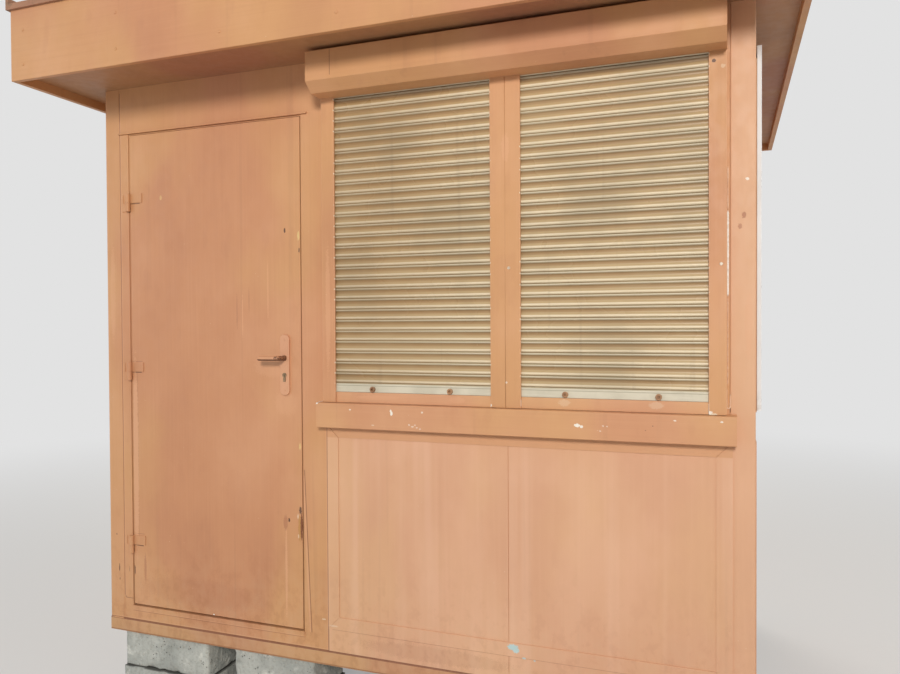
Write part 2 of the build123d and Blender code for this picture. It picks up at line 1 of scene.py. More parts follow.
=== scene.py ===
import bmesh
import bpy
import numpy as np
from mathutils import Matrix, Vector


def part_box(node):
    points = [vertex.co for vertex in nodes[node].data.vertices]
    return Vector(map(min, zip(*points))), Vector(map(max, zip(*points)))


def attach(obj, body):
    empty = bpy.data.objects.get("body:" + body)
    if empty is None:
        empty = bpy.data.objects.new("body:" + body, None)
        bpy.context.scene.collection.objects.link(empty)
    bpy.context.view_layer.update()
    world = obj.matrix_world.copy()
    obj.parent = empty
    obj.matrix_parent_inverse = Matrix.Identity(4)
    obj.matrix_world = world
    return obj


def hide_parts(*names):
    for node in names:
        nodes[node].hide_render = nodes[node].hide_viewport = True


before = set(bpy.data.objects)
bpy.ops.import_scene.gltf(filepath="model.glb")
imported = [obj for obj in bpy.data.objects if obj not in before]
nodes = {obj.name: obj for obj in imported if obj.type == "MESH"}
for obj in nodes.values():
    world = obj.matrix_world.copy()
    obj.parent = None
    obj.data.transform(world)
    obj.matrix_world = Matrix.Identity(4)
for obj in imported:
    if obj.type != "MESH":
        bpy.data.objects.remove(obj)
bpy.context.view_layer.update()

# Places are in metres in the kiosk's own frame: x to the right along the front, y to the back, z up
print("frame loaded:", len(nodes), "nodes")


def added(name, data):
    # A new object in the scene
    made = bpy.data.objects.new(name, data)
    bpy.context.scene.collection.objects.link(made)
    return made


def turned(right, up, back, place):
    # The matrix of a camera or lamp, from its place and the directions of its own axes
    matrix = Matrix(list(zip(right, up, back))).to_4x4()
    matrix.translation = place
    return matrix


camera = {
    "place": (1.162, -3.28686, 1.56),
    "right": (0.938921713, 0.344090092, -0.00529382),
    "up": (-0.000279046, 0.016144412, 0.999869632),
    "back": (0.344130699, -0.93879783, 0.015254356),
    "lens": 30.0,
    "sensor": 36.0,
    "reach": 200.0,
}


def addCamera(spec):
    # The photograph's own viewing angle
    data = bpy.data.cameras.new("streetCamera")
    data.lens = spec["lens"]
    data.sensor_width = spec["sensor"]
    data.sensor_fit = "HORIZONTAL"
    data.clip_end = spec["reach"]
    holder = added("streetCamera", data)
    holder.matrix_world = turned(spec["right"], spec["up"], spec["back"], spec["place"])
    bpy.context.scene.camera = holder


addCamera(camera)


class Wire:
    # One output of some nodes; sums and products of wires add Math nodes
    def __init__(self, net, socket):
        self.net = net
        self.socket = socket

    def math(self, operation, first, second, clamp=False):
        return self.net.node("Math", {"operation": operation, "use_clamp": clamp}, {0: first, 1: second})

    def __add__(self, other):
        return self.math("ADD", self, other)

    def __radd__(self, other):
        return self.math("ADD", other, self)

    def __sub__(self, other):
        return self.math("SUBTRACT", self, other)

    def __rsub__(self, other):
        return self.math("SUBTRACT", other, self)

    def __mul__(self, other):
        return self.math("MULTIPLY", self, other)

    def __rmul__(self, other):
        return self.math("MULTIPLY", other, self)

    def __truediv__(self, other):
        return self.math("DIVIDE", self, other)

    def __pow__(self, other):
        return self.math("POWER", self, other)

    def __abs__(self):
        return self.math("ABSOLUTE", self, 0.0)

    def most(self, other):
        return self.math("MAXIMUM", self, other)

    def least(self, other):
        return self.math("MINIMUM", self, other)

    def kept(self):
        # Held between 0 and 1
        return self.math("ADD", self, 0.0, clamp=True)


class Net:
    # The nodes of a material or of the world
    def __init__(self, owner):
        owner.use_nodes = True
        self.tree = owner.node_tree
        self.tree.nodes.clear()

    def node(self, kind, settings=None, sockets=None, output=0):
        # Any node: its settings first, then the values or wires of its sockets
        made = self.tree.nodes.new("ShaderNode" + kind)
        for key, value in (settings or {}).items():
            setattr(made, key, value)
        for key, value in (sockets or {}).items():
            if isinstance(value, Wire):
                self.tree.links.new(value.socket, made.inputs[key])
            else:
                made.inputs[key].default_value = value
        return Wire(self, made.outputs[output]) if made.outputs else made


class Paint(Net):
    # A material under construction, with the object's own coordinates split into x, y and z
    def __init__(self, name):
        self.material = bpy.data.materials.new(name)
        super().__init__(self.material)
        self.place = self.node("TexCoord", output="Object")
        self.x, self.y, self.z = (self.node("SeparateXYZ", sockets={0: self.place}, output=axis) for axis in "XYZ")

    def mix(self, factor, first, second):
        return self.node("Mix", {"data_type": "RGBA"}, {0: factor, 6: first, 7: second}, 2)

    def rise(self, value, low, high):
        # 0 at low, 1 at high, with a smooth run between; low may be the greater of the two
        return self.node("MapRange", {"interpolation_type": "SMOOTHSTEP"},
                         {"Value": value, "From Min": low, "From Max": high})

    def over(self, colour, tint, value, low, high, share=1.0):
        # Lays a share of a tint over a colour where a value runs from low to high
        return self.mix(self.rise(value, low, high) * share, colour, tint)

    def part(self, operation, value):
        # FRACT or FLOOR of a value, for patterns that repeat
        return self.node("Math", {"operation": operation}, {0: value})

    def stretched(self, factors, shift=(0.0, 0.0, 0.0)):
        return self.node("VectorMath", {"operation": "MULTIPLY_ADD"}, {0: self.place, 1: factors, 2: shift})

    def noise(self, scale, stretch=(1.0, 1.0, 1.0), detail=3.0, rough=0.5, shift=(0.0, 0.0, 0.0)):
        return self.node("TexNoise", sockets={"Vector": self.stretched(stretch, shift), "Scale": scale,
                                              "Detail": detail, "Roughness": rough})

    def cells(self, scale, shift=(0.0, 0.0, 0.0)):
        # Distance to the nearest of many scattered points
        place = self.stretched((1.0, 1.0, 1.0), shift)
        return self.node("TexVoronoi", sockets={"Vector": place, "Scale": scale}, output="Distance")

    def surface(self, colour, roughness, height=None, depth=0.0008, **constants):
        # Constants go straight on the shader's own sockets
        sockets = {"Base Color": colour, "Roughness": roughness, **constants}
        if height is not None:
            sockets["Normal"] = self.node("Bump", sockets={"Strength": 1.0, "Distance": depth, "Height": height})
        return self.node("BsdfPrincipled", sockets=sockets)

    def finish(self, *looks, **constants):
        self.node("OutputMaterial", sockets={"Surface": self.surface(*looks, **constants)})
        return self.material


def shade(red, green, blue):
    # A colour as seen on a screen, 0 to 255, turned into Blender's linear values
    seen = np.array((red, green, blue)) / 255.0
    linear = np.where(seen <= 0.04045, seen / 12.92, ((seen + 0.055) / 1.055) ** 2.4)
    return (*[float(v) for v in linear], 1.0)


stage = {
    "floor": shade(214, 211, 206),
    "floorRoughness": 0.9,
    "size": 120.0,
    "fade": (2.5, 9.0),    # distances from the kiosk between which the floor turns into the background
    "near": 0.42,          # share of the background in the floor beside the kiosk
    "sky": shade(226, 226, 226),
    "skyLight": 0.46,      # the sky's strength on the kiosk; the camera sees it at 1
    "lamps": (
        # name, place, aimed at, size, watts, colour
        ("keyLamp", (2.2, -7.4, 4.0), (0.1, -0.9, 1.2), 1.5, 345.0, (1.0, 0.94, 0.86)),
        ("fillLamp", (-5.6, -4.2, 2.6), (0.0, -0.6, 1.2), 4.0, 62.0, (0.92, 0.96, 1.0)),
        ("backLamp", (-2.5, 6.4, 4.6), (0.0, 0.8, 1.4), 4.0, 225.0, (1.0, 0.98, 0.95)),
        ("sideLamp", (6.8, 0.6, 3.2), (1.2, 0.2, 1.3), 2.6, 105.0, (1.0, 0.97, 0.93)),
    ),
}


def addFloor(spec):
    # A pale floor that takes the kiosk's shadow near by and turns into the background further off
    paint = Paint("paleFloor")
    seen = paint.node("LightPath", output="Is Camera Ray")
    for ray in ("Is Glossy Ray", "Is Transmission Ray"):
        seen = seen.most(paint.node("LightPath", output=ray))
    distance = (paint.x * paint.x + paint.y * paint.y) ** 0.5
    share = (spec["near"] + (1.0 - spec["near"]) * paint.rise(distance, *spec["fade"])) * seen
    glow = paint.node("Emission", sockets={"Color": spec["sky"], "Strength": 1.0})
    near = paint.surface(spec["floor"], spec["floorRoughness"])
    paint.node("OutputMaterial", sockets={"Surface": paint.node("MixShader", sockets={0: share, 1: near, 2: glow})})
    half = spec["size"] / 2
    corners = [(-half, -half, 0.0), (half, -half, 0.0), (half, half, 0.0), (-half, half, 0.0)]
    mesh = bpy.data.meshes.new("studioFloor")
    mesh.from_pydata(corners, [], [(0, 1, 2, 3)])
    mesh.materials.append(paint.material)
    floor = added("studioFloor", mesh)


def addSky(spec):
    # An even sky: full strength to the camera and in gloss, weaker as a light
    world = bpy.data.worlds.new("studioSky")
    bpy.context.scene.world = world
    net = Net(world)
    seen = net.node("LightPath", output="Is Camera Ray").most(net.node("LightPath", output="Is Glossy Ray"))
    strength = net.node("MapRange", sockets={"Value": seen, "To Min": spec["skyLight"], "To Max": 1.0})
    background = net.node("Background", sockets={"Color": spec["sky"], "Strength": strength})
    net.node("OutputWorld", sockets={"Surface": background})


def addLamps(spec):
    # Round soft lamps, each turned so that its own back points away from what it is aimed at
    for name, place, target, size, watts, colour in spec["lamps"]:
        lamp = bpy.data.lights.new(name, "AREA")
        lamp.shape = "DISK"
        lamp.size = size
        lamp.energy = watts
        lamp.color = colour
        aim = np.array(target) - np.array(place)
        away = -aim / np.linalg.norm(aim)
        side = np.cross((0.0, 0.0, 1.0), away)
        side = side / np.linalg.norm(side)
        added(name, lamp).matrix_world = turned(side, np.cross(away, side), away, place)


addFloor(stage)
addSky(stage)
addLamps(stage)
print("studio ready")
bpy.context.scene.view_settings.view_transform = "Standard"


steelPaint = {
    "body": shade(195, 143, 101),
    "ochre": shade(204, 156, 107),
    "pink": shade(193, 134, 102),
    "faded": shade(216, 165, 129),
    "deep": shade(158, 102, 76),
    "dust": shade(200, 168, 138),
    "dirt": shade(78, 52, 40),
    "seam": shade(116, 68, 48),
    "rust": shade(112, 62, 34),
    "ochreRust": shade(184, 134, 78),
    "chip": shade(228, 216, 192),
    "orange": shade(200, 150, 110),
    "white": shade(234, 230, 220),
    "blot": shade(178, 204, 206),
    "yellowed": shade(216, 186, 128),
}
painted = (steelPaint["body"], steelPaint["faded"], steelPaint["deep"])

brushing = {
    "draw": 0.018,              # the strokes are drawn out along the brush's way by 1 / draw
    "splash": (0.85, 0.32),     # heights between which dust and rust splashed from below come in
    "front": (-0.8, -0.83),     # y between which marks and seams come in, so that only the front has them
}


def brushedOn(name, tints=painted, streakAxis="z", streaks=0.075):
    # Brush paint on sheet steel: long faint strokes, clouds of two tints, dust low down, few chips
    paint = Paint(name)
    body, faded, deep = tints
    drawn = {"z": (1.0, 1.0, brushing["draw"]), "x": (brushing["draw"], 1.0, 1.0)}[streakAxis]
    strokes = paint.noise(115.0, drawn, 3.0, 0.6)
    fine = paint.noise(520.0, drawn, 1.0, 0.5)
    patches = paint.noise(1.9, (1.0, 1.0, 0.55), 3.0, 0.5)
    clouds = paint.noise(3.1, (1.0, 1.0, 0.6), 4.0, 0.55, (3.1, 1.7, 0.4))
    ovals = paint.noise(13.0, (1.0, 1.0, 0.4), 3.0, 0.55, (7.7, 0.3, 2.2))
    splashes = paint.noise(30.0, (1.0, 1.0, 0.7), 5.0, 0.65)
    runs = paint.noise(30.0, (1.0, 1.0, 0.02), 2.0, 0.5, (9.0, 2.0, 0.0))
    waves = paint.noise(2.2, (1.0, 1.0, 0.8), 1.0, 0.4, (5.0, 0.0, 2.0))
    low = paint.rise(paint.z, *brushing["splash"])
    flecks = paint.rise(paint.cells(48.0), 0.07, 0.04)
    colour = paint.over(steelPaint["ochre"], steelPaint["pink"], patches, 0.4, 0.6)
    colour = paint.mix(0.5, colour, body)
    colour = paint.over(colour, faded, clouds, 0.46, 0.72, 0.34)
    colour = paint.over(colour, deep, clouds, 0.5, 0.28, 0.2)
    colour = paint.over(colour, deep, ovals, 0.58, 0.72, 0.1)
    colour = paint.over(colour, faded, strokes, 0.5, 0.7, streaks)
    colour = paint.over(colour, deep, strokes, 0.48, 0.3, 0.7 * streaks)
    colour = paint.over(colour, steelPaint["dust"], splashes, 0.44, 0.64, low * 0.2)
    colour = paint.over(colour, steelPaint["rust"], splashes, 0.5, 0.36, low * 0.14)
    colour = paint.over(colour, steelPaint["dirt"], runs, 0.62, 0.74, 0.06)
    colour = paint.over(colour, steelPaint["chip"], paint.noise(5.0, detail=2.0), 0.6, 0.66, flecks * 0.6)
    roughness = 0.44 + 0.14 * clouds + 0.1 * paint.rise(splashes, 0.4, 0.6)
    height = 0.16 * strokes + 0.05 * fine + 2.6 * waves
    return paint, colour, roughness, height


def marked(paint, colour, marks):
    # Chips, scuffs, stains and other spots on the front: ragged ovals at (x, z) of half sizes (width, height)
    ragged = paint.noise(260.0, detail=3.0, rough=0.6) - 0.5
    front = paint.rise(paint.y, *brushing["front"])
    for x, z, width, height, tint, strength in marks:
        across = (paint.x - x) / width
        up = (paint.z - z) / height
        reach = (across * across + up * up) ** 0.5 + 1.3 * ragged
        colour = paint.over(colour, steelPaint[tint], reach, 1.05, 0.8, front * strength)
    return colour


def seamed(paint, colour, seams):
    # Joints drawn on the front. Upright: x at the lower end, lean per metre, low, high.
    # Level: z, left, right. Both end with half the width, tint and strength.
    front = paint.rise(paint.y, *brushing["front"])
    broken = 0.75 + 0.5 * paint.noise(34.0, detail=3.0, rough=0.6)
    lines = [(paint.x - x - lean * (paint.z - low), paint.z, low, high, *look)
             for x, lean, low, high, *look in seams.get("upright", ())]
    lines += [(paint.z - z, paint.x, left, right, *look) for z, left, right, *look in seams.get("level", ())]
    for away, along, start, end, half, tint, strength in lines:
        reach = paint.rise(along, start - 0.003, start + 0.003) * paint.rise(along, end + 0.003, end - 0.003)
        drawn = paint.rise(abs(away), half, 0.35 * half) * reach * front * broken * strength
        colour = paint.mix(drawn.kept(), colour, steelPaint[tint])
    return colour


def detailed(paint, colour, name):
    # The joints and marks of one steel, where it has any
    if name in seams:
        colour = seamed(paint, colour, seams[name])
    if name in marks:
        colour = marked(paint, colour, marks[name])
    return colour


def plainSteel(name, tints, streakAxis, streaks):
    paint, colour, roughness, height = brushedOn(name, tints, streakAxis, streaks)
    return paint.finish(detailed(paint, colour, name), roughness, height)


def dress(material, *names):
    # Gives a CAD node its finish; its mesh and place stay as they are
    for name in names:
        mesh = nodes[name].data
        mesh.materials.clear()
        mesh.materials.append(material)


# Marks on the front as (x, z, half width, half height, tint, strength)
marks = {
    "leafSteel": (
        (-0.3937, 1.921, 0.004, 0.01, "dirt", 0.9), (-0.3346, 1.899, 0.005, 0.018, "yellowed", 0.95),
        (-0.332, 1.845, 0.003, 0.01, "dirt", 0.8), (-0.3345, 1.109, 0.004, 0.014, "yellowed", 0.95),
        (-0.338, 0.8, 0.008, 0.05, "ochreRust", 0.9), (-0.331, 0.808, 0.0045, 0.058, "rust", 0.9),
        (-0.335, 0.868, 0.0065, 0.014, "dirt", 0.85), (-0.346, 0.845, 0.003, 0.01, "chip", 0.6),
        (-0.344, 0.77, 0.003, 0.008, "chip", 0.5), (-0.398, 0.63, 0.005, 0.18, "faded", 0.6),
        (-0.61, 1.62, 0.0035, 0.07, "deep", 0.35), (-0.585, 1.6, 0.003, 0.09, "faded", 0.5),
        (-0.555, 1.66, 0.003, 0.05, "deep", 0.3), (-0.47, 1.7, 0.004, 0.12, "faded", 0.4),
        (-0.384, 0.828, 0.004, 0.009, "dirt", 0.95), (-0.4, 0.818, 0.01, 0.03, "deep", 0.5),
        (-0.732, 0.424, 0.004, 0.003, "white", 0.9), (-1.1225, 0.56, 0.004, 0.02, "dirt", 0.85),
        (-1.068, 0.574, 0.006, 0.06, "deep", 0.45), (-0.97, 2.08, 0.006, 0.01, "yellowed", 0.5),
        (-0.62, 0.9, 0.05, 0.12, "deep", 0.07), (-0.9, 1.16, 0.12, 0.16, "deep", 0.07),
        (-1.1095, 1.03, 0.014, 0.42, "faded", 0.65), (-0.455, 1.405, 0.08, 0.04, "faded", 0.28),
        (-0.3945, 1.27, 0.05, 0.05, "faded", 0.25), (-0.8, 0.5, 0.3, 0.06, "deep", 0.16),
    ),
    "wallSteel": (
        (-1.2026, 0.5605, 0.003, 0.017, "dirt", 0.85), (-1.201, 0.515, 0.002, 0.006, "dirt", 0.7),
        (-1.215, 0.7, 0.003, 0.004, "dirt", 0.6), (-1.15, 0.56, 0.0015, 0.012, "dirt", 0.5),
        # The two deep-tinted spots on the right post, near z 1.86 and 1.89, are plain darker spots
        (1.2259, 1.9984, 0.005, 0.005, "white", 0.85), (1.2162, 1.89, 0.007, 0.01, "deep", 0.7),
        (1.2049, 1.857, 0.006, 0.009, "deep", 0.6), (-0.2388, 0.47, 0.008, 0.003, "chip", 0.6),
        (-0.226, 1.281, 0.004, 0.006, "white", 0.9), (1.23, 1.56, 0.012, 0.1, "faded", 0.4),
        (-1.22, 1.7, 0.014, 0.2, "faded", 0.35),
    ),
    "ledgeSteel": (
        (0.0628, 1.252, 0.0055, 0.0085, "white", 0.98), (0.06, 1.261, 0.0035, 0.005, "white", 0.9),
        (-0.0999, 1.2603, 0.0035, 0.003, "white", 0.75), (0.1788, 1.2596, 0.004, 0.0035, "white", 0.7),
        (0.1297, 1.2146, 0.0035, 0.003, "white", 0.6), (0.142, 1.209, 0.0045, 0.003, "white", 0.55),
        (0.152, 1.215, 0.0035, 0.0025, "white", 0.5), (0.1585, 1.206, 0.004, 0.0025, "white", 0.55),
        (0.171, 1.202, 0.0035, 0.0025, "white", 0.5), (-0.01, 1.208, 0.006, 0.0025, "chip", 0.5),
        (0.7165, 1.237, 0.01, 0.006, "white", 0.98), (0.73, 1.2335, 0.006, 0.005, "white", 0.95),
        (0.7989, 1.2387, 0.003, 0.0022, "white", 0.6), (0.8115, 1.2375, 0.0025, 0.0022, "white", 0.5),
        (0.79, 1.222, 0.003, 0.0022, "white", 0.55), (1.0182, 1.2638, 0.0045, 0.0028, "white", 0.75),
        (1.1531, 1.2648, 0.0045, 0.003, "white", 0.8), (0.952, 1.245, 0.002, 0.002, "dirt", 0.6),
        (0.93, 1.23, 0.002, 0.0018, "dirt", 0.5), (-0.236, 1.28, 0.005, 0.005, "white", 0.9),
    ),
    "railSteel": (
        (-0.157, 1.3045, 0.0025, 0.0195, "white", 0.9), (-0.16, 1.324, 0.008, 0.0025, "chip", 0.7),
        (0.4195, 1.302, 0.003, 0.018, "white", 0.55), (0.4225, 1.29, 0.004, 0.006, "white", 0.9),
        (0.5285, 1.302, 0.0025, 0.016, "white", 0.9), (0.54, 1.3035, 0.009, 0.003, "chip", 0.9),
        (1.114, 1.306, 0.003, 0.022, "white", 0.95), (1.118, 1.289, 0.009, 0.007, "white", 0.9),
        (1.13, 1.286, 0.012, 0.003, "chip", 0.8), (0.4778, 1.369, 0.004, 0.004, "white", 0.6),
        (1.1564, 2.3369, 0.008, 0.006, "chip", 0.3), (1.1309, 2.3551, 0.006, 0.006, "dirt", 0.9),
        (0.476, 2.15, 0.014, 0.05, "faded", 0.4), (-0.195, 1.62, 0.01, 0.24, "faded", 0.35),
    ),
    "panelSteel": (
        (0.4893, 0.4708, 0.02, 0.011, "blot", 0.98), (0.5, 0.462, 0.012, 0.01, "blot", 0.95),
        (0.5279, 0.4384, 0.008, 0.004, "blot", 0.8), (0.5634, 0.4352, 0.004, 0.004, "blot", 0.7),
        (-0.195, 0.452, 0.02, 0.004, "chip", 0.35), (0.2, 0.4, 0.3, 0.03, "rust", 0.12),
    ),
    "stripSteel": (
        (0.67, 1.306, 0.02, 0.012, "chip", 0.22), (0.96, 1.306, 0.022, 0.012, "chip", 0.22),
        (0.0, 1.304, 0.09, 0.008, "faded", 0.35), (0.3, 1.304, 0.03, 0.012, "faded", 0.35),
    ),
}

# Joints painted over on the front: see seamed() for what the numbers are
baseJoint = ((0.3545, -1.25, 1.25, 0.0032, "seam", 0.9), (0.36, -1.25, 1.25, 0.0024, "faded", 0.35))
seams = {
    "wallSteel": {
        "upright": (
            (-1.175, 0.0, 0.45, 2.52, 0.0024, "seam", 0.75), (-1.1716, 0.0, 0.45, 2.52, 0.003, "faded", 0.35),
            (-0.2198, 0.0, 0.352, 1.192, 0.0026, "seam", 0.7), (-0.2235, 0.0, 0.352, 1.192, 0.0028, "faded", 0.35),
            # The slanted dark line and the pale band left of it mark a step on the door frame; the pale band is a
            # painted highlight on the step's lit face
            (-0.29, -0.0428, 0.414, 1.022, 0.0024, "seam", 0.7),
            (-0.296, -0.0428, 0.414, 1.0, 0.005, "faded", 0.45),
            (1.1775, 0.0, 1.29, 1.345, 0.0024, "dirt", 0.7), (-1.244, 0.0, 0.36, 2.5, 0.0016, "faded", 0.3),
        ),
        "level": (
            (0.441, -1.17, -1.133, 0.0022, "seam", 0.6), (0.445, -1.173, -1.166, 0.003, "seam", 0.6),
            *baseJoint,
        ),
    },
    "thresholdSteel": {
        "level": (*baseJoint,
                  (0.3925, -1.14, -0.32, 0.0022, "seam", 0.55), (0.3965, -1.14, -0.32, 0.0022, "faded", 0.35)),
    },
    "baseSteel": {
        "level": ((0.3505, -1.25, 1.25, 0.003, "seam", 0.85), (0.303, -1.25, 1.25, 0.004, "rust", 0.5)),
    },
    "panelSteel": {
        "level": ((0.3545, -0.22, 1.185, 0.0032, "seam", 0.9), (0.485, -0.16, 1.12, 0.0018, "faded", 0.5),
                  (0.438, -0.2, 1.17, 0.0018, "seam", 0.45)),
        "upright": ((-0.217, 0.0, 0.352, 1.19, 0.0024, "seam", 0.6),
                    (-0.21, 1.05, 0.43, 0.486, 0.0016, "faded", 0.6)),
    },
    "leafSteel": {
        # dark lines under the three hinge plates: dirt and painted shadow
        "level": ((2.0645, -1.122, -1.076, 0.0026, "dirt", 0.75), (1.3755, -1.122, -1.076, 0.0026, "dirt", 0.85),
                  (0.6635, -1.122, -1.076, 0.0026, "dirt", 0.85), (1.42, -1.122, -1.07, 0.0016, "seam", 0.45),
                  (0.712, -1.122, -1.07, 0.0016, "seam", 0.45)),
        "upright": ((-1.0975, 0.0, 0.69, 1.37, 0.0016, "seam", 0.3),),
    },
    "boxSteel": {
        "upright": ((-0.122, 0.0, 2.43, 2.52, 0.0018, "seam", 0.75),),
    },
}


room = {
    "halfWidth": (1.1925, 1.1915),      # distances between which the walls' inner faces begin
    "halfDepth": (0.8925, 0.8915),
    "middle": 0.105,                    # the room's middle along y
    "board": shade(198, 192, 178),
}
dustAndSheenPost = {"from": (1.17, 1.178), "tint": shade(224, 184, 156), "share": 0.45}


def wallSteel(name):
    # Outside as the rest of the steel, paler on the right post as dust and painted sheen; inside a pale painted
    # board
    paint, colour, roughness, height = brushedOn(name)
    inside = paint.rise(abs(paint.x), *room["halfWidth"]) \
        * paint.rise(abs(paint.y - room["middle"]), *room["halfDepth"])
    front = paint.rise(paint.y, *brushing["front"])
    worn = paint.over(room["board"], steelPaint["dust"], paint.noise(5.0), 0.45, 0.7, 0.35)
    # the right post is painted paler: dust and painted sheen
    colour = paint.over(colour, dustAndSheenPost["tint"], paint.x, *dustAndSheenPost["from"], front * dustAndSheenPost["share"])
    colour = detailed(paint, paint.mix(inside, colour, worn), name)
    return paint.finish(colour, roughness, height)


rails = {
    "slatSides": (-0.1665, 0.422, 0.527, 1.1155),
    "outerSides": (1.168, -0.219),
    "foot": (1.33, 1.37),       # heights between which the slats' chips begin
}


def toNearest(paint, places):
    # Distance along x to the nearest of some upright edges
    gap = abs(paint.x - places[0])
    for x in places[1:]:
        gap = gap.least(abs(paint.x - x))
    return gap


def slatTurn(paint):
    # How far up its slat a point is, 0 to 1
    return paint.part("FRACT", (paint.z - slats["bottom"]) / slats["pitch"])


def rattled(paint, colour):
    # The slats have knocked small chips off the rails' inner edges
    joint = paint.rise(abs(slatTurn(paint) - 0.5), 0.4, 0.46)
    near = paint.rise(toNearest(paint, rails["slatSides"]), 0.0035, 0.0015) * paint.rise(paint.z, *rails["foot"])
    return paint.over(colour, steelPaint["chip"], paint.noise(70.0, detail=2.0), 0.46, 0.56, joint * near * 0.8)


def railSteel(name):
    # Pale along every upright edge
    paint, colour, roughness, height = brushedOn(name, streaks=0.08)
    edge = toNearest(paint, rails["slatSides"] + rails["outerSides"])
    colour = paint.over(colour, steelPaint["faded"], edge, 0.004, 0.001, 0.35)
    colour = detailed(paint, rattled(paint, colour), name)
    return paint.finish(colour, roughness, height)


panelTints = {
    "steel": (shade(214, 170, 138), shade(228, 184, 154), shade(180, 130, 100)),
    "veil": shade(218, 176, 146),
    "runs": shade(238, 204, 180),
}


def panelSteel(name):
    # The lower panel is paler, partly faded and partly painted sheen, in broad soft runs; its top border has kept
    # its colour
    paint, colour, roughness, height = brushedOn(name, panelTints["steel"], streaks=0.06)
    runs = paint.noise(17.0, (1.0, 1.0, 0.03), 2.0, 0.5, (2.0, 4.0, 1.0))
    # the pale veil stands for fading and for painted sheen
    colour = paint.mix(0.2, colour, panelTints["veil"])
    colour = paint.over(colour, panelTints["runs"], runs, 0.46, 0.74, 0.16)
    colour = paint.over(colour, steelPaint["orange"], paint.z, 1.149, 1.153, 0.8)
    return paint.finish(detailed(paint, colour, name), roughness, height, 0.0009)


slats = {
    "bottom": 1.352,
    "pitch": 0.038,
    # colour of one slat from its foot up: where each next tint takes over, as shares of the pitch. Most bands are
    # painted light: a dark notch of dirt and painted shade, a bright lip of painted highlight, a trough darkening
    # upwards as painted shade, and a pale line on the bead as painted highlight
    "tints": (
        (0.0, 0.03, shade(184, 170, 142)),
        (0.05, 0.075, shade(130, 108, 78)),
        (0.11, 0.16, shade(230, 216, 188)),
        (0.3, 0.42, shade(184, 159, 119)),
        (0.5, 0.66, shade(160, 129, 90)),
        (0.7, 0.82, shade(138, 110, 74)),
        (0.86, 0.89, shade(182, 170, 146)),
        (0.955, 0.975, shade(214, 206, 186)),
    ),
    "dusty": shade(184, 168, 134),
    "olive": shade(116, 106, 82),
    "gold": shade(140, 106, 62),
    "golden": (0.48, -0.1),     # x between which the gold comes in over the left curtain, as a painted duller reflection
}


def slatPaint(name):
    # Enamelled slats: every slat has a dark notch of dirt and painted shade, a bright lip of painted highlight, a
    # golden trough darkening upwards as painted shade, and a grey bead with a painted highlight line
    paint = Paint(name)
    turn = slatTurn(paint)
    clouds = paint.noise(2.6, (1.0, 1.0, 1.3), 3.0, 0.6)
    rubs = paint.noise(60.0, (0.05, 1.0, 1.0), 2.0, 0.6)
    streaks = paint.noise(30.0, (1.0, 1.0, 0.04), 2.0, 0.5)
    colour = slats["tints"][-1][2]
    for low, high, tint in slats["tints"]:
        colour = paint.over(colour, tint, turn, low, high)
    # The left curtain is painted more golden, standing in for its duller reflection
    colour = paint.over(colour, slats["gold"], paint.x, *slats["golden"], 0.34)
    colour = paint.over(colour, slats["olive"], clouds, 0.4, 0.68, 0.3)
    colour = paint.over(colour, slats["dusty"], clouds, 0.5, 0.3, 0.2)
    colour = paint.over(colour, slats["dusty"], rubs, 0.58, 0.72, 0.12)
    colour = paint.over(colour, steelPaint["dirt"], streaks, 0.58, 0.74, 0.12)
    return paint.finish(colour, 0.2 + 0.16 * clouds, 0.4 * rubs + 0.2 * streaks, 0.0003)


bars = {
    "pale": shade(208, 202, 184),
    "dull": shade(188, 182, 164),
    "rubbed": shade(224, 220, 204),
    "groove": shade(120, 110, 84),
    "grooveHeight": 1.3455,
    "bronze": (shade(176, 134, 98), shade(142, 104, 74)),
    "studs": (-0.8665, -0.868),     # y between which a stud stands in front of the bar's face
}


def barPaint(name):
    # Pale rolled bars with a dark groove, and bronze studs
    paint = Paint(name)
    clouds = paint.noise(7.0, detail=4.0, rough=0.6)
    rubs = paint.noise(90.0, (0.06, 1.0, 1.0), 2.0, 0.6)
    colour = paint.over(bars["pale"], bars["dull"], clouds, 0.38, 0.66, 0.7)
    colour = paint.over(colour, bars["rubbed"], rubs, 0.55, 0.72, 0.35)
    colour = paint.over(colour, bars["groove"], abs(paint.z - bars["grooveHeight"]), 0.0016, 0.0006, 0.55)
    bronze = paint.over(*bars["bronze"], clouds, 0.35, 0.65)
    colour = paint.over(colour, bronze, paint.y, *bars["studs"])
    return paint.finish(colour, 0.36 + 0.2 * clouds, rubs, 0.0003)


blockTints = {
    "grey": (shade(158, 163, 160), shade(192, 196, 191)),
    "bloom": shade(226, 228, 222),
    "dull": shade(132, 136, 128),
    "stone": shade(170, 164, 150),
    "grain": shade(112, 112, 106),
    "pit": shade(58, 58, 52),
    "joint": shade(48, 46, 40),
    "jointHeight": 0.15,
    "damp": shade(122, 116, 100),
}


